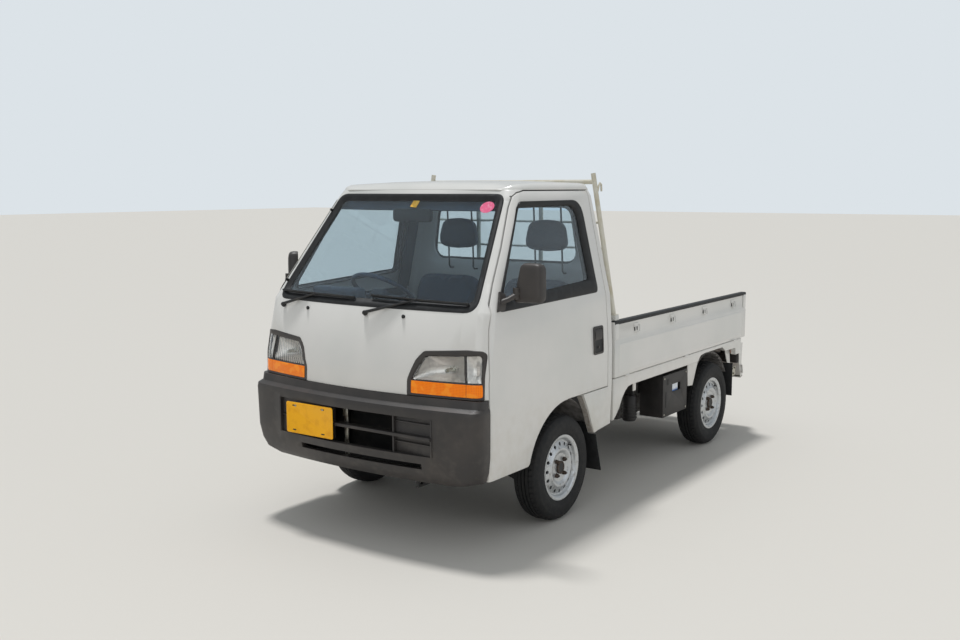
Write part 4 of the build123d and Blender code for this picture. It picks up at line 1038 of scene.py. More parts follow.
def repeated(name, kind, mesh, settings, finishes):
    """Repeats a mesh with a node tree and gives back the plain mesh that results."""
    tree = bpy.data.node_groups.new(name, "GeometryNodeTree")
    tree.interface.new_socket("Geometry", in_out="OUTPUT", socket_type="NodeSocketGeometry")
    tree.interface.new_socket("Geometry", in_out="INPUT", socket_type="NodeSocketGeometry")
    sockets = {
        "Count": "NodeSocketInt",
        "Step": "NodeSocketVector",
        "Pivot": "NodeSocketVector",
        "Finish": "NodeSocketMaterial",
    }
    made = {
        key: tree.interface.new_socket(key, in_out="INPUT", socket_type=sort) for key, sort in sockets.items()
    }
    given = add(tree, "NodeGroupInput")
    spots = add(tree, "GeometryNodeMeshLine", links={"Count": given.outputs["Count"]})
    spots.inputs["Offset"].default_value = (0, 0, 0)
    copies = add(
        tree, "GeometryNodeInstanceOnPoints",
        links={"Points": spots.outputs[0], "Instance": given.outputs["Geometry"]},
    )
    index = add(tree, "GeometryNodeInputIndex")
    amount = add(
        tree, "ShaderNodeVectorMath", {"operation": "SCALE"},
        {0: given.outputs["Step"], "Scale": index.outputs[0]},
    )
    if kind == "ring":
        moved = add(
            tree,
            "GeometryNodeRotateInstances",
            {"Local Space": False},
            {
                "Instances": copies.outputs[0], "Rotation": amount.outputs[0],
                "Pivot Point": given.outputs["Pivot"],
            },
        )
    else:
        moved = add(
            tree,
            "GeometryNodeTranslateInstances",
            {"Local Space": False},
            {"Instances": copies.outputs[0], "Translation": amount.outputs[0]},
        )
    solid = add(tree, "GeometryNodeRealizeInstances", links={"Geometry": moved.outputs[0]})
    coloured = add(
        tree, "GeometryNodeSetMaterial",
        links={"Geometry": solid.outputs[0], "Material": given.outputs["Finish"]},
    )
    add(tree, "NodeGroupOutput", links={"Geometry": coloured.outputs[0]})
    holder = placed(name + "_holder", mesh)
    modifier = holder.modifiers.new("repeat", "NODES")
    modifier.node_group = tree
    for key, value in {**settings, "Finish": finishes[0]}.items():
        modifier[made[key].identifier] = value
    result = evaluated(holder)
    bpy.data.objects.remove(holder)
    return result


def repeat_piece(piece, kind, count, step, pivot=(0, 0, 0)):
    """Finishes a piece as a row or a ring of copies of what it holds."""
    bmesh.ops.recalc_face_normals(piece.bm, faces=piece.bm.faces[:])
    mesh = baked(piece.name + "_one", piece.bm)
    settings = {"Count": count, "Step": step, "Pivot": pivot}
    result = repeated(piece.name, kind, mesh, settings, piece.finishes)
    result.transform(TO_FRAME)
    settle(piece.name, result, piece.body, piece.slot, piece.finishes)


# Wheels: a ribbed tyre with shoulder blocks, the steel wheel, its nuts, hub and valve
TYRE_SHAPE = (
    (0.150, 0.0555), (0.158, 0.0590), (0.166, 0.0598), (0.172, 0.0640), (0.180, 0.0668), (0.183, 0.0680),
    (0.186, 0.0680), (0.189, 0.0700), (0.204, 0.0720), (0.218, 0.0722), (0.232, 0.0702), (0.236, 0.0704),
    (0.240, 0.0690), (0.250, 0.0630), (0.257, 0.0570), (0.2605, 0.0520), (0.2605, 0.0310), (0.2605, 0.0295),
    (0.2670, 0.0285), (0.2674, 0.0130), (0.2610, 0.0120), (0.2610, 0.0075), (0.2678, 0.0065),
)
TREAD_BLOCKS = 56
tyre_loop = list(TYRE_SHAPE) + [(r, -a) for r, a in reversed(TYRE_SHAPE)]
for place, side, axle_y in WHEELS:
    body = "wheel_" + place
    centre = Vector((side * TRACK, axle_y, AXLE_Z))
    tyre = Piece("tyre_" + place + "_carcass", body, "tyre", tyre_rubber)
    tyre.lathe(tyre_loop, centre, (side, 0, 0), 96)
    tyre.done(angle=40, replaces=("tyre_" + place,))

    blocks = Piece("tyre_" + place + "_tread", body, "tyre", tyre_rubber)
    for facing in (1, -1):
        low, high = sided(side * facing, (0.0315, -0.0125, 0.2545), (0.0525, 0.0125, 0.2668))
        for v in blocks.block(centre + Vector(low), centre + Vector(high), 0.0012, 1):
            reach = abs(v.co.x - centre.x)
            v.co.z -= max(0.0, reach - 0.030) ** 2 * 14
            v.co.y += (reach - 0.042) * 0.25 * facing
    for groove in (0.020, -0.020):
        low, high = (groove - 0.0045, -0.0085, 0.2640), (groove + 0.0045, 0.0085, 0.2680)
        blocks.block(centre + Vector(low), centre + Vector(high), 0.0008, 1)
    repeat_piece(blocks, "ring", TREAD_BLOCKS, (2 * math.pi / TREAD_BLOCKS, 0, 0), centre)

    eased("rim_" + place, silver, 0.8, 30, 25)
    # A dark ring behind the wheel's holes, painted shade
    behind = Piece("wheel_shade_" + place, body, "wheel_steel", chassis)
    behind.lathe(
        ((0.0970, 0.0250), (0.1390, 0.0250), (0.1390, 0.0270), (0.0970, 0.0290)), centre, (side, 0, 0), 64
    )
    behind.done()
    nuts = Piece("wheel_nuts_" + place, body, "wheel_steel", rusty)
    nut = centre + Vector((side * 0.050, 0, 0.050))
    hexagon = circle(0.0105, 6)
    nuts.grid([
        [nut + Vector((side * lift, u * size, v * size)) for u, v in hexagon]
        for lift, size in ((-0.002, 1.15), (0.002, 1.15), (0.003, 1.0), (0.012, 1.0), (0.015, 0.8))
    ])
    nuts.rod([nut, nut + Vector((side * 0.019, 0, 0))], 0.0055, 12)
    bmesh.ops.rotate(
        nuts.bm, verts=nuts.bm.verts[:], cent=centre, matrix=Matrix.Rotation(math.pi / 4, 3, "X")
    )
    repeat_piece(nuts, "ring", 4, (math.pi / 2, 0, 0), centre)
    hub = Piece("wheel_hub_" + place, body, "wheel_steel", rusty, chassis)
    hub.lathe(
        (
            (0.0325, 0.049), (0.0325, 0.0575), (0.0300, 0.0595), (0.0260, 0.0595), (0.0245, 0.0575),
            (0.0245, 0.049),
        ),
        centre, (side, 0, 0), 40,
    )
    hub.paint = 1
    hub.lathe(
        ((0.0001, 0.0580), (0.0245, 0.0575), (0.0245, 0.0550), (0.0001, 0.0550)), centre, (side, 0, 0), 32,
        closed=False,
    )
    stem = centre + Vector((side * 0.042, 0.094, 0.096))
    hub.rod(
        [stem, stem + Vector((side * 0.008, 0.001, 0.001)), stem + Vector((side * 0.018, 0.0, 0.0))],
        [0.0050, 0.0038, 0.0040], 10,
    )
    hub.done()

# Door mirrors: a domed shell with a glass let into its back, on a short arm
MIRROR_MIDDLE = Vector((0.781, -1.272, 1.236))
MIRROR_PIVOT = Vector((0.712, -1.290, 1.236))
MIRROR_FOLD = math.radians(45)
for side, label in SIDES:
    turn = Matrix.Rotation(MIRROR_FOLD if side < 0 else 0.0, 3, "Z")

    def head(u, w, v, turn=turn, side=side):
        """A spot in the head: across, towards the rear, up."""
        spot = turn @ (MIRROR_MIDDLE + Vector((u, w, v)) - MIRROR_PIVOT) + MIRROR_PIVOT
        return Vector((side * spot.x, spot.y, spot.z))

    shell = Piece(
        f"mirror_shell_{label}", f"door_{label}_body", "grey_plastic", moulded, mirror_glass, seal_rubber
    )
    outline = dense(
        rounded(
            ((-0.092, -0.091), (0.062, -0.086), (0.060, 0.090), (-0.052, 0.091)), (0.020, 0.032, 0.036, 0.034)
        ),
        0.02,
    )
    shell.grid([
        [head(p.x * size + 0.003 * (1 - size), w, p.y * size) for p in outline]
        for size, w in (
            (0.30, -0.0270), (0.60, -0.0262), (0.80, -0.0235), (0.91, -0.0190), (0.97, -0.0120), (1.0, 0.000),
            (1.0, 0.0180), (0.985, 0.0245), (0.95, 0.0265), (0.92, 0.0255), (0.915, 0.0200),
        )
    ])
    shell.paint = 1
    shell.grid([
        [head(p.x * size, w, p.y * size) for p in outline]
        for size, w in ((0.90, 0.0195), (0.90, 0.0215), (0.88, 0.0220))
    ])
    shell.paint = 0
    root = Vector((side * 0.664, -1.366, 1.150))
    knuckle = Vector((side * 0.716, -1.296, 1.185))
    shell.rod(
        [
            root, root.lerp(knuckle, 0.5) + Vector((0, 0, -0.004)), knuckle,
            knuckle + Vector((side * 0.012, 0.012, 0.012)),
        ],
        [0.021, 0.017, 0.018, 0.014], 16, flat=0.7,
    )
    shell.rod([knuckle + Vector((0, 0, -0.022)), knuckle + Vector((0, 0, 0.03))], 0.017, 16)
    plate = quad(((-1.352, 1.196), (-1.318, 1.186), (-1.344, 1.114), (-1.398, 1.112)))
    shell.slab(
        lambda u, v, lift: on_flank(*plate(u, v), lift, side), 6, 8,
        lambda u, v: 0.010 + 0.006 * math.sin(math.pi * v), -0.004,
    )
    shell.done(replaces=(f"mirror_{label}",))

# Wipers on the windscreen, their washer jets, and the aerial along the right pillar
wipers = Piece("wipers", "truck", "grey_plastic", chassis, seal_rubber)
for pivot_x, low, high in (
    (-0.549, (-0.590, 1.142), (-0.060, 1.138)), (0.032, (0.035, 1.152), (0.570, 1.140))
):
    def blade(lift, low=low, high=high):
        """Points along the blade, this far from the glass."""
        steps = [t / 10 for t in range(11)]
        return [
            on_front(low[0] + (high[0] - low[0]) * t, low[1] + (high[1] - low[1]) * t, lift) for t in steps
        ]

    base = on_front(pivot_x, 1.078, 0.004)
    wipers.rod(
        [base, base + Vector((0, -0.004, 0.002)), base + Vector((0, -0.014, 0.006))], [0.013, 0.013, 0.010],
        16,
    )
    across = blade(0.014)
    middle = across[5]
    tip = base + Vector((0, -0.014, 0.006))
    wipers.rod(
        [
            tip, tip.lerp(middle, 0.35) + Vector((0, -0.004, 0)), tip.lerp(middle, 0.8),
            middle + Vector((0, -0.006, 0)),
        ],
        [0.011, 0.0095, 0.007, 0.0055], 8, flat=0.7,
    )
    wipers.rod([p + Vector((0, -0.004, 0)) for p in across[1:10]], 0.0035, 6)
    wipers.paint = 1
    wipers.rod(blade(0.004), 0.0035, 6)
    wipers.rod(across, 0.0055, 6)
    wipers.paint = 0
for jet_x in (-0.362, 0.250):
    base = on_front(jet_x, 1.076, 0.0)
    wipers.paint = 1
    wipers.rod(
        [base, base + Vector((0, -0.003, 0.003)), base + Vector((0, -0.007, 0.008))], [0.010, 0.009, 0.005],
        12,
    )
    wipers.paint = 0
wipers.done()

aerial = Piece("aerial", "truck", "wheel_steel", zinc, seal_rubber)
aerial_path = [on_front(-0.604 + 0.092 * t / 8, 1.19 + 0.40 * t / 8, 0.016) for t in range(9)]
aerial.rod(aerial_path, 0.0022, 8)
aerial.paint = 1
for spot in (aerial_path[0], aerial_path[7]):
    aerial.rod([spot + Vector((0, 0.014, -0.006)), spot + Vector((0, -0.003, 0.001))], [0.009, 0.0055], 10)
aerial.done()

stickers = Piece("windscreen_labels", "truck", "grey_plastic", sticker_pink, sticker_yellow)
stickers.prism(circle(0.038, 32, (0.440, 1.573), 0.026), (-0.0068, -0.0062), on_front)
stickers.paint = 1
stickers.prism(
    [(-0.018, 1.572), (0.022, 1.568), (0.026, 1.600), (-0.014, 1.604)], (-0.0068, -0.0062), on_front
)
stickers.done()

# Bumper: slats in its shut parts, a black sheet behind it as painted shade, and the radiator that shows
# behind
slats = Piece("bumper_slats", "truck", "grey_plastic", moulded)
slats.block((0.256, -1.6075, 0.606), (0.469, -1.5965, 0.613), 0.002)
slats.block((0.256, -1.6075, 0.511), (0.469, -1.5965, 0.518), 0.002)
slats.block((-0.470, -1.6075, 0.546), (-0.085, -1.5965, 0.554), 0.002)
slats.done()

fins = Piece("radiator_fins", "truck", "chassis_steel", chassis)
fins.block((-0.250, -1.545, 0.440), (0.262, -1.530, 0.4415), 0.0004, 1)
repeat_piece(fins, "row", 44, (0, 0, 0.005))
shade = Piece("bumper_shade_sheet", "truck", "grey_plastic", seal_rubber)
shade.block((-0.600, -1.512, 0.350), (0.600, -1.507, 0.705), 0.001, 1)
shade.done()
core = Piece("radiator_core", "truck", "chassis_steel", chassis, zinc)
core.block((-0.265, -1.530, 0.425), (0.275, -1.505, 0.660), 0.004)
core.block((-0.265, -1.548, 0.655), (0.275, -1.500, 0.690), 0.008)
core.block((-0.265, -1.548, 0.405), (0.275, -1.500, 0.436), 0.008)
core.paint = 1
core.block((-0.086, -1.572, 0.395), (-0.062, -1.560, 0.700), 0.003)
core.block((-0.090, -1.578, 0.580), (-0.058, -1.572, 0.625), 0.003)
core.done()


# Number plates: a pressed blank with a raised rim, four slots and two bolts
def plate(name, middle, facing):
    """A blank number plate. facing is -1 for the front one and 1 for the rear one."""
    made = Piece(name, "truck", "plate_yellow", plate_yellow, seal_rubber, zinc)

    def spot(u, v, lift):
        return Vector((middle[0] + u, middle[1] + facing * lift, middle[2] + v))

    outline = rounded(box_corners(-0.1525, -0.0762, 0.1525, 0.0762), 0.012)
    rim = [p * 0.965 for p in outline]
    made.grid([
        [spot(p.x, p.y, -0.0010) for p in outline],
        [spot(p.x, p.y, 0.0004) for p in outline],
        [spot(p.x * 0.985, p.y * 0.975, 0.0016) for p in outline],
        [spot(p.x, p.y * 0.985, 0.0014) for p in rim],
        [spot(p.x * 0.99, p.y * 0.97, 0.0004) for p in rim],
    ])
    made.paint = 1
    for u, v in ((-0.100, 0.060), (0.088, 0.060), (-0.100, -0.060), (0.088, -0.060)):
        slot = rounded(box_corners(u - 0.011, v - 0.0032, u + 0.011, v + 0.0032), 0.0031)
        made.grid([[spot(p.x, p.y, lift) for p in slot] for lift in (0.0002, 0.0007)])
    made.paint = 2
    for u in (-0.089, 0.089):
        head = spot(u, 0.060, 0.0006)
        made.lathe(
            ((0.0001, 0.0035), (0.0045, 0.003), (0.0055, 0.0008), (0.0055, 0.0), (0.0001, 0.0)), head,
            (0, facing, 0), 16, closed=False,
        )
    return made


front = plate("front_plate_blank", (-0.247, -1.6435, 0.553), -1)
front.block((-0.357, -1.642, 0.540), (-0.317, -1.598, 0.566), 0.002)
front.block((-0.177, -1.642, 0.540), (-0.137, -1.598, 0.566), 0.002)
front.done(replaces=("front_plate",))
rear = plate("rear_plate_blank", (0.0, 1.5875, 0.500), 1)
rear.block((-0.105, 1.567, 0.520), (-0.075, 1.586, 0.602), 0.002)
rear.block((0.075, 1.567, 0.520), (0.105, 1.586, 0.602), 0.002)
rear.done(replaces=("rear_plate",))

# Bed gates: a pressed field, rope hooks in the upper band, a rubber capping, hinges and corner latches
GATE_FACE = 0.697
HOOK_Y = -0.047
HOOK_PITCH = 0.4703


def hook_wire(root, face):
    """A rope hook's bent wire: along the gate, height and lift, from the root's lift to the face's."""
    half = (
        (-0.024, 0.908, root), (-0.024, 0.906, face), (-0.024, 0.878, face + 0.003),
        (-0.018, 0.872, face + 0.003),
    )
    return half + tuple((-u, z, lift) for u, z, lift in reversed(half))


for side, label in SIDES:
    body = f"side_gate_{label}_body"

    def gate(y, z, lift=0.0, side=side):
        return Vector((side * (GATE_FACE + lift), y, z))

    field = Piece(f"side_gate_field_{label}", body, "white_paint", enamel)
    outer = rounded(box_corners(-0.262, 0.832, 1.520, 0.664), 0.012)
    inner = rounded(box_corners(-0.252, 0.822, 1.510, 0.674), 0.010)
    field.band(
        *matched(outer, inner, 0.2), ((0, -0.002), (0, 0.0002), (0.6, 0.0026), (1.0, 0.0026), (1.0, -0.002)),
        gate,
    )
    field.grid([[gate(p.x, p.y, lift) for p in inner] for lift in (-0.001, 0.0026)])
    for low, high in ((-0.303, -0.262), (1.545, 1.586)):
        field.block(*sided(side, (GATE_FACE - 0.012, low, 0.852), (GATE_FACE, high, 0.940)), 0.003)
    field.done()

    hooks = Piece(f"rope_hooks_{label}", body, "white_paint", enamel)
    hooks.rod([gate(HOOK_Y + u, z, lift) for u, z, lift in hook_wire(-0.010, 0.002)], 0.0036, 8)
    bracket = quad(box_corners(HOOK_Y - 0.030, 0.920, HOOK_Y + 0.030, 0.900))
    hooks.slab(over(gate, bracket), 2, 1, -0.005, -0.010)
    repeat_piece(hooks, "row", 4, (0, HOOK_PITCH, 0))
    # Black pads in the hooks' pockets, painted shade
    recess = Piece(f"rope_hook_shades_{label}", body, "black_rubber", seal_rubber)
    pocket = quad(box_corners(HOOK_Y - 0.020, 0.899, HOOK_Y + 0.020, 0.878))
    recess.slab(over(gate, pocket), 2, 1, -0.0082, -0.0100)
    repeat_piece(recess, "row", 4, (0, HOOK_PITCH, 0))

    trim = Piece(f"side_gate_trim_{label}", body, "black_rubber", seal_rubber, enamel)
    profile = [
        (0.6575, 0.940), (0.6575, 0.9495), (0.661, 0.9545), (0.690, 0.9545), (0.6955, 0.9505),
        (0.6965, 0.936), (0.694, 0.936), (0.692, 0.949), (0.662, 0.949), (0.660, 0.940),
    ]
    trim.grid([[Vector((side * x, y, z)) for x, z in profile] for y in (-0.304, 1.588)])
    trim.slab(lambda u, v, lift: gate(1.566 + 0.012 * u, 0.902 - 0.070 * v, lift), 2, 2, -0.0082, -0.0095)
    trim.paint = 1
    for hinge_y in (-0.16, 0.62, 1.40):
        trim.rod([(side * 0.6965, hinge_y + d, 0.6470) for d in (-0.022, 0.022)], 0.0045, 12)
    trim.done()

# Tailgate: the same pressings on its rear face, drawn as if shut and swung down to where it hangs
TAIL_HINGE = Vector((0, 1.628, 0.643))
TAIL_SWING = Matrix.Rotation(math.radians(-165), 3, "X")


def tail(x, z, y):
    """A spot on the tailgate, typed as if it were shut."""
    return TAIL_SWING @ (Vector((x, y, z)) - TAIL_HINGE) + TAIL_HINGE


tail_field = Piece("tailgate_field", "tailgate_body", "white_paint", enamel)
outer = rounded(box_corners(-0.610, 0.830, 0.610, 0.674), 0.012)
inner = rounded(box_corners(-0.600, 0.820, 0.600, 0.684), 0.010)
tail_field.band(
    *matched(outer, inner, 0.2), ((0, 1.6425), (0, 1.6430), (0.6, 1.6471), (1.0, 1.6471), (1.0, 1.6425)), tail
)
tail_field.done()
tail_hooks = Piece("tailgate_hooks", "tailgate_body", "white_paint", enamel)
for hook_x in (-0.45, 0.0, 0.45):
    tail_hooks.rod([tail(hook_x + u, z, 1.639 + w) for u, z, w in hook_wire(-0.002, 0.004)], 0.0036, 8)
tail_hooks.done()
tail_trim = Piece("tailgate_trim", "tailgate_body", "black_rubber", seal_rubber, enamel)
profile = [
    (1.5985, 0.940), (1.5985, 0.9495), (1.602, 0.9545), (1.6335, 0.9545), (1.6385, 0.9505), (1.6395, 0.936),
    (1.637, 0.936), (1.635, 0.949), (1.603, 0.949), (1.601, 0.940),
]
tail_trim.grid([[tail(x, z, y) for y, z in profile] for x in (-0.631, 0.631)])
tail_trim.paint = 1
for hinge_x in (-0.52, 0.0, 0.52):
    tail_trim.rod([tail(hinge_x + d, 0.643, 1.628) for d in (-0.030, 0.030)], 0.0065, 12)
tail_trim.done()

# Bed: pressed ribs along its floor, and a row of bolts that hold the front wall
bed_ribs = Piece("bed_floor_ribs", "truck", "white_paint", bed_enamel)
bed_ribs.grid([
    [
        Vector((x, y, z))
        for x, z in ((-0.6225, 0.6495), (-0.6165, 0.6530), (-0.5935, 0.6530), (-0.5875, 0.6495))
    ]
    for y in (-0.255, 1.565)
])
repeat_piece(bed_ribs, "row", 13, (0.1008, 0, 0))
wall_bolts = Piece("bed_wall_bolts", "truck", "white_paint", bed_enamel)
wall_bolts.lathe(
    ((0.0001, 0.006), (0.006, 0.005), (0.009, 0.001), (0.009, -0.002), (0.0001, -0.002)),
    (-0.60, -0.275, 0.70), (0, 1, 0), 12, closed=False,
)
repeat_piece(wall_bolts, "row", 9, (0.15, 0, 0))

# Guard frame of welded tube on the bed's front wall
guard = Piece("guard_tubes", "truck", "cream_paint", cream)
GUARD_Y = -0.272
FOOT_X, FOOT_Z = 0.668, 0.985
TOP_X, TOP_Z = 0.534, 1.735
RAIL_Z = 1.690
for side in (1, -1):
    foot, top = Vector((side * FOOT_X, GUARD_Y, FOOT_Z)), Vector((side * TOP_X, GUARD_Y, TOP_Z))
    guard.rod([foot, top], 0.013, 20)
    reach = 0.019 if side > 0 else 0.022
    guard.block((foot.x - 0.026, GUARD_Y - 0.019, 0.984), (foot.x + reach, GUARD_Y + 0.019, 0.990), 0.001)
for post_x in (-0.208, 0.208):
    guard.rod([(post_x, GUARD_Y, FOOT_Z), (post_x, GUARD_Y, RAIL_Z)], 0.0125, 16)
guard.rod([(-0.541, GUARD_Y, RAIL_Z), (0.541, GUARD_Y, RAIL_Z)], 0.0125, 16)
for bar_z in (1.240, 1.337, 1.474):
    reach = FOOT_X - (bar_z - FOOT_Z) / (TOP_Z - FOOT_Z) * (FOOT_X - TOP_X)
    guard.rod([(-reach, GUARD_Y, bar_z), (reach, GUARD_Y, bar_z)], 0.0065, 12)
hook = [
    Vector((0.560, GUARD_Y + d, z))
    for d, z in ((0.006, 1.640), (0.014, 1.668), (0.028, 1.684), (0.042, 1.676), (0.046, 1.640))
]
guard.rod(hook, 0.0055, 10)
guard.done(replaces=("guard_frame",))

# Tail lamps: a dark housing with red, amber and clear lenses
for side, label in SIDES:
    housing = Piece(
        f"tail_lamp_{label}", "truck", "red_lens", moulded, red_lens, amber, lens_glass, reflector
    )
    housing.block(*sided(side, (0.471, 1.535, 0.468), (0.671, 1.592, 0.530)), 0.012, 3)
    housing.block(*sided(side, (0.541, 1.546, 0.528), (0.601, 1.574, 0.601)), 0.003)
    for paint, near, far in ((1, 0.600, 0.669), (2, 0.534, 0.599), (3, 0.474, 0.533)):
        housing.paint = paint
        housing.block(*sided(side, (near, 1.588, 0.471), (far, 1.609, 0.527)), 0.008, 3)
    housing.paint = 4
    housing.block(*sided(side, (0.478, 1.5905, 0.475), (0.530, 1.5920, 0.523)), 0.0004, 1)
    housing.done(replaces=("tail_lamps",) if side > 0 else ())

fixings = Piece("rear_bracket_bolts", "truck", "wheel_steel", zinc)
for side in (1, -1):
    fixings.block(*sided(side, (0.6350, 1.505, 0.380), (0.6410, 1.578, 0.444)), 0.003)
    for y, z in ((1.518, 0.432), (1.562, 0.432), (1.540, 0.396)):
        fixings.rod([(side * 0.640, y, z), (side * 0.649, y, z)], 0.007, 6)
fixings.done()

# Grey strips of painted shade on the returns behind the front wheels, inside the panels' bright edges
ARCH_EDGE = ((-0.511, 0.396), (-0.547, 0.458), (-0.581, 0.527), (-0.634, 0.606))
for side, label in SIDES:
    lining = Piece(f"arch_lining_{label}", "truck", "black_rubber", return_shade_grey, zinc)
    lining.grid([
        [
            Vector((side * x, y - 0.867 * lift, z - 0.5 * lift))
            for x, lift in ((0.655, -0.001), (0.655, 0.003), (0.683, 0.003), (0.683, -0.001))
        ]
        for y, z in ARCH_EDGE
    ])
    lining.paint = 1
    lining.rod([(side * 0.667, -0.518, 0.428), (side * 0.667, -0.527, 0.426)], 0.005, 6)
    lining.done()

# Rear wheelhouses: flanges and pressed ribs
flanges = Piece("wheelhouse_flanges", "truck", "white_paint", enamel)
for side in (1, -1):
    for corners in (
        ((0.762, 0.582), (0.930, 0.582), (0.846, 0.424), (0.776, 0.430)),
        ((1.366, 0.588), (1.448, 0.588), (1.472, 0.432), (1.444, 0.434)),
    ):
        piece_quad = quad(corners)
        flanges.slab(
            lambda u, v, lift: Vector((side * (0.640 + lift), *piece_quad(u, v))), 2, 2, 0.004, 0.0
        )
    piece_quad = quad(((1.541, 0.606), (1.606, 0.606), (1.592, 0.458), (1.549, 0.466)))
    flanges.slab(lambda u, v, lift: Vector((side * (0.673 + lift), *piece_quad(u, v))), 2, 2, 0.003, 0.0)
flanges.done()
for side, label in SIDES:
    liner_ribs = Piece(f"wheelhouse_ribs_{label}", "truck", "grey_plastic", dusty_liner)
    rows = []
    for x in (0.380, 0.384, 0.632, 0.636):
        size = 0.0 if x in (0.380, 0.636) else 0.007
        rows.append([
            Vector((side * x, REAR_AXLE + u, AXLE_Z + r))
            for u, r in ((-0.014, 0.3300), (-0.009, 0.3300 - size), (0.009, 0.3300 - size), (0.014, 0.3300))
        ])
    liner_ribs.grid(rows)
    bmesh.ops.rotate(
        liner_ribs.bm, verts=liner_ribs.bm.verts[:], cent=(0, REAR_AXLE, AXLE_Z),
        matrix=Matrix.Rotation(math.radians(52), 3, "X"),
    )
    repeat_piece(liner_ribs, "ring", 14, (math.radians(-8), 0, 0), (0, REAR_AXLE, AXLE_Z))

# Side box: a slot, a latch, four screws, and the tank that shows through the window
box_detail = Piece("side_box_details", "truck", "grey_plastic", seal_rubber, canister, zinc)
box_detail.block((0.6515, 0.436, 0.350), (0.6535, 0.447, 0.446), 0.0008, 1)
box_detail.block((0.6515, 0.452, 0.486), (0.6535, 0.478, 0.520), 0.0008, 1)
box_detail.paint = 1
box_detail.block((0.560, 0.533, 0.420), (0.644, 0.625, 0.500), 0.004)
box_detail.paint = 2
for y, z in ((0.415, 0.530), (0.722, 0.530), (0.415, 0.312), (0.722, 0.312)):
    box_detail.rod([(0.651, y, z), (0.6545, y, z)], 0.006, 6)
box_detail.done()

# Behind the cab, under the bed: the air cleaner with its ribs, a bracket and its duct
intake = Piece("air_cleaner", "truck", "chassis_steel", under_bed_shade_plastic, chassis, enamel)
intake.rod([(0.500, 0.262, z) for z in (0.290, 0.300, 0.430, 0.442)], [0.036, 0.042, 0.042, 0.036], 28)
for z in (0.310, 0.328, 0.346, 0.364, 0.382):
    intake.rod([(0.500, 0.262, z - 0.003), (0.500, 0.262, z + 0.003)], 0.0455, 28)
intake.paint = 2
intake.block((0.634, 0.026, 0.520), (0.642, 0.060, 0.584), 0.002)
intake.paint = 1
intake.block((0.470, 0.247, 0.438), (0.530, 0.277, 0.602), 0.003)
intake.rod(
    [(0.500, 0.280, 0.415), (0.440, 0.345, 0.430), (0.350, 0.420, 0.470), (0.262, 0.600, 0.480)], 0.022, 14
)
intake.done()

# Cab inside: dashboard parts, pedals, levers, mirror, headliner, steering wheel
dash = Piece("dashboard_parts", "truck", "interior_plastic", abs_trim, moulded, liner, zinc)
dash.block((-0.500, -1.350, 1.085), (-0.190, -1.270, 1.165), 0.020, 4)
dash.paint = 1
dash.block((-0.480, -1.2725, 1.092), (-0.210, -1.2690, 1.150), 0.004)
dash.paint = 2
for dial_x in (-0.405, -0.285):
    dash.lathe(
        ((0.0001, 0.0012), (0.026, 0.0012), (0.028, 0.0), (0.0001, -0.001)), (dial_x, -1.2688, 1.121),
        (0, 1, 0), 32, closed=False,
    )
dash.paint = 1
for vent_x in (-0.570, 0.085, 0.200, 0.570):
    dash.block((vent_x - 0.045, -1.2905, 1.045), (vent_x + 0.045, -1.2795, 1.085), 0.004)
dash.block((-0.110, -1.2865, 0.975), (0.110, -1.2745, 1.035), 0.004)
dash.block((0.260, -1.2850, 0.975), (0.540, -1.2760, 1.030), 0.006)
dash.paint = 0
dash.block((-0.100, -1.2800, 0.985), (0.100, -1.2700, 0.992), 0.002)
dash.paint = 3
for knob_x in (-0.085, 0.085):
    dash.rod([(knob_x, -1.2755, 1.005), (knob_x, -1.2620, 1.003)], 0.011, 16)
dash.done()

controls = Piece("levers_and_pedals", "truck", "interior_plastic", chassis, moulded, abs_trim)
controls.rod(
    [(0.0, -1.130, 0.560), (0.010, -1.080, 0.700), (0.020, -1.060, 0.790)], [0.008, 0.007, 0.006], 12
)
controls.paint = 1
controls.rod(
    [(0.020, -1.060, 0.782), (0.021, -1.058, 0.798), (0.022, -1.056, 0.815), (0.022, -1.055, 0.824)],
    [0.010, 0.019, 0.018, 0.006], 20,
)
controls.rod([(0.0, -1.145, 0.560), (0.0, -1.120, 0.600)], [0.05, 0.012], 20)
controls.paint = 0
controls.rod([(-0.020, -0.700, 0.660), (-0.020, -0.860, 0.730)], 0.010, 12)
controls.paint = 1
controls.rod([(-0.020, -0.850, 0.7255), (-0.020, -0.960, 0.770)], [0.015, 0.016], 16)
controls.paint = 0
for pedal_x, reach in ((-0.480, -1.390), (-0.360, -1.385), (-0.235, -1.360)):
    controls.rod([(pedal_x, -1.470, 0.700), (pedal_x, -1.420, 0.580), (pedal_x, reach, 0.520)], 0.007, 10)
    controls.block(
        (pedal_x - 0.030, reach - 0.006, 0.490), (pedal_x + 0.030, reach + 0.006, 0.545), 0.004,
        turn=Matrix.Rotation(math.radians(30), 3, "X"),
    )
controls.paint = 2
for stalk_x in (-0.430, -0.250):
    hub = Vector((-0.340, -1.028, 1.034))
    controls.rod(
        [hub, Vector((stalk_x, -1.030, 1.055)), Vector((stalk_x + (stalk_x + 0.34) * 0.6, -1.020, 1.062))],
        [0.007, 0.006, 0.009], 10,
    )
controls.done()

cab_mirror = Piece("cab_mirror", "truck", "interior_plastic", seal_rubber, mirror_glass)
oval = rounded(box_corners(-0.139, 1.491, 0.106, 1.557), 0.024)
oval_middle = Vector((-0.0165, 1.524))
for paint, stations in (
    (0, ((0.80, -1.134), (0.95, -1.131), (1.0, -1.124), (1.0, -1.112), (0.96, -1.108))),
    (1, ((0.90, -1.1082), (0.90, -1.1066))),
):
    cab_mirror.paint = paint
    cab_mirror.grid([
        [Vector((spot.x, y, spot.y)) for spot in (oval_middle.lerp(p, size) for p in oval)]
        for size, y in stations
    ])
cab_mirror.paint = 0
cab_mirror.rod(
    [(-0.016, -1.116, 1.550), (-0.016, -1.096, 1.585), (-0.016, -1.052, 1.630)], [0.006, 0.006, 0.010], 12
)
cab_mirror.done()

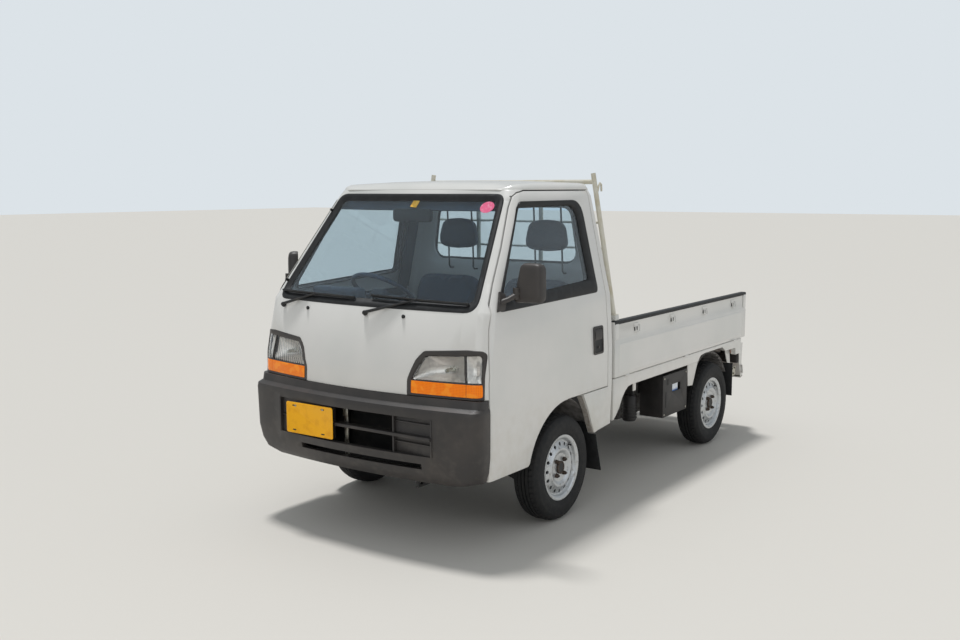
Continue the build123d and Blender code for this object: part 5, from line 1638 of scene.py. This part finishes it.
header = Piece("windscreen_header_trim", "truck", "interior_plastic", abs_trim)
area = quad(((-0.500, 1.632), (0.500, 1.632), (0.508, 1.572), (-0.508, 1.572)))
header.slab(over(on_front, area), 30, 4, -0.032, -0.040)
header.done()

lining = Piece("headliner", "truck", "interior_plastic", liner)
lining.block((-0.490, -1.025, 1.632), (0.490, -0.380, 1.646), 0.006)
lining.block((-0.430, -1.048, 1.612), (-0.060, -1.030, 1.632), 0.006)
lining.block((0.100, -1.048, 1.612), (0.430, -1.030, 1.632), 0.006)
lining.done()

WHEEL_MIDDLE = Vector((-0.340, -0.973, 1.113))
COLUMN_LEAN = math.radians(35)
COLUMN_LINE = Vector((0, math.sin(COLUMN_LEAN), math.cos(COLUMN_LEAN)))
WHEEL_UP = Vector((0, -math.cos(COLUMN_LEAN), math.sin(COLUMN_LEAN)))
WHEEL_R = 0.172
ACROSS = Vector((1, 0, 0))


def wheel_spot(u, v, w=0.0):
    """A spot on the steering wheel: across, up its face, and out along the column."""
    return WHEEL_MIDDLE + ACROSS * u + WHEEL_UP * v + COLUMN_LINE * w


steering = Piece("steering_wheel_rim", "steering_wheel", "interior_plastic", vinyl, abs_trim)
steering.rod([wheel_spot(*p) for p in circle(WHEEL_R, 64)], 0.0125, 14, closed=True)
steering.paint = 1
hub_outline = rounded(((-0.062, -0.050), (0.062, -0.050), (0.052, 0.040), (-0.052, 0.040)), 0.018)
steering.grid([
    [wheel_spot(p.x * size, p.y * size, w) for p in hub_outline]
    for size, w in ((0.8, -0.045), (1.0, -0.038), (1.0, -0.012), (0.9, -0.004), (0.5, 0.0))
])
for end_u, end_v in ((0.168, -0.012), (-0.168, -0.012), (0.055, -0.158), (-0.055, -0.158)):
    steering.rod(
        [
            wheel_spot(end_u * 0.25, end_v * 0.25, -0.026), wheel_spot(end_u * 0.7, end_v * 0.7, -0.020),
            wheel_spot(end_u, end_v, -0.004),
        ],
        [0.020, 0.014, 0.011], 12, flat=0.5,
    )
steering.done(replaces=("steering_wheel",))

# Seats and headrests
PAD_VOXEL = 0.006
PAD_PRESSURE = 4.0
PAD_FRAMES = 20
PAD_SWELL = 0.012
REST_SWELL = 0.006
CUSHION_FOOT = 0.662


def cushion_form(name, middle, size, exponents, made_of, tilt=0.0, taper=0.0):
    """A crowned closed pad: a rounded box whose sides pull in between its corners and to its top."""
    made = Piece(name, "truck", "seat_fabric", made_of)
    east, north = exponents
    columns, rows = 48, 32
    ring_rows = []

    def power(value, exponent):
        return math.copysign(abs(value) ** exponent, value)

    turn = Matrix.Rotation(tilt, 3, "X")
    for j in range(1, rows):
        lat = -math.pi / 2 + math.pi * j / rows
        row = []
        for i in range(columns):
            lon = 2 * math.pi * i / columns
            spot = Vector((
                size[0] * power(math.cos(lat), north) * power(math.cos(lon), east),
                size[1] * power(math.cos(lat), north) * power(math.sin(lon), east),
                size[2] * power(math.sin(lat), north),
            ))
            spot.x *= 1 - taper * spot.z / size[2]
            row.append(turn @ spot + Vector(middle))
        ring_rows.append(row)
    made.grid(ring_rows)
    return made


def stuffed(pad, reach, held_below=None):
    """Swells a pad as stuffed cloth. A point moves by reach at most, and stays put below a height."""
    remesh = pad.modifiers.new("remesh", "REMESH")
    remesh.mode = "VOXEL"
    remesh.voxel_size = PAD_VOXEL
    start = evaluated(pad)
    pad.modifiers.clear()
    trial = placed(pad.name + "_trial", start)
    cloth_settings = trial.modifiers.new("swell", "CLOTH").settings
    cloth_settings.use_pressure = True
    cloth_settings.uniform_pressure_force = PAD_PRESSURE
    cloth_settings.effector_weights.gravity = 0
    cloth_settings.quality = 5
    cloth_settings.mass = 0.3
    if held_below is not None:
        held = trial.vertex_groups.new(name="held")
        held.add([v.index for v in start.vertices if v.co.z < held_below], 1.0, "REPLACE")
        cloth_settings.vertex_group_mass = "held"
    for step in range(1, PAD_FRAMES + 1):
        bpy.context.scene.frame_set(step)
    swollen = evaluated(trial)
    for old, new in zip(start.vertices, swollen.vertices):
        moved = new.co - old.co
        if moved.length > reach:
            new.co = old.co + moved.normalized() * reach
    bpy.data.objects.remove(trial)
    bpy.context.scene.frame_set(1)
    finishes = list(pad.data.materials)
    swollen.materials.clear()
    for made in finishes:
        swollen.materials.append(made)
    swollen.polygons.foreach_set("use_smooth", [True] * len(swollen.polygons))
    pad.data = swollen
    smooth = pad.modifiers.new("smooth", "SUBSURF")
    smooth.levels = 1
    smooth.render_levels = 1


PIPING_Z = 0.716
SEAT_LEAN = math.radians(-15.5)
for seat_x, rest_x, label in ((0.296, 0.3145, "left"), (-0.296, -0.2675, "right")):
    rest = cushion_form(
        f"headrest_pad_{label}", (rest_x, -0.386, 1.404), (0.124, 0.026, 0.083), (0.42, 0.55), vinyl,
        taper=0.11,
    )
    stuffed(rest.done(angle=60, replaces=("headrests",) if seat_x > 0 else ()), REST_SWELL)
    cushion = cushion_form(
        f"seat_cushion_{label}", (seat_x, -0.826, 0.702), (0.222, 0.256, 0.056), (0.30, 0.50), cloth
    )
    stuffed(cushion.done(angle=60, replaces=("seats",) if seat_x > 0 else ()), PAD_SWELL, CUSHION_FOOT)
    back = cushion_form(
        f"seat_back_{label}", (seat_x, -0.476, 0.980), (0.220, 0.042, 0.206), (0.35, 0.40), cloth, SEAT_LEAN
    )
    stuffed(back.done(angle=60), PAD_SWELL)
    piping = Piece(f"seat_piping_{label}", "truck", "seat_fabric", vinyl, chassis)
    loop = rounded(box_corners(seat_x - 0.226, -1.086, seat_x + 0.226, -0.566), 0.050)
    piping.rod([(p.x, p.y, PIPING_Z) for p in loop], 0.0045, 8, closed=True)
    piping.paint = 1
    piping.block((seat_x - 0.215, -1.075, 0.636), (seat_x + 0.215, -0.575, 0.662), 0.008, 3)
    piping.done()
rods = Piece("headrest_rods", "truck", "seat_fabric", moulded)
for rod_x in (-0.338, -0.168, 0.243, 0.413):
    rods.rod([
        Vector((rod_x + lean, y, z))
        for lean, y, z in (
            (0, -0.346, 1.202), (0, -0.372, 1.203), (0, -0.383, 1.214), (-0.006, -0.384, 1.40),
            (-0.017, -0.384, 1.620), (-0.017, -0.380, 1.630), (-0.017, -0.366, 1.631),
        )
    ], 0.005, 10)
rods.done()
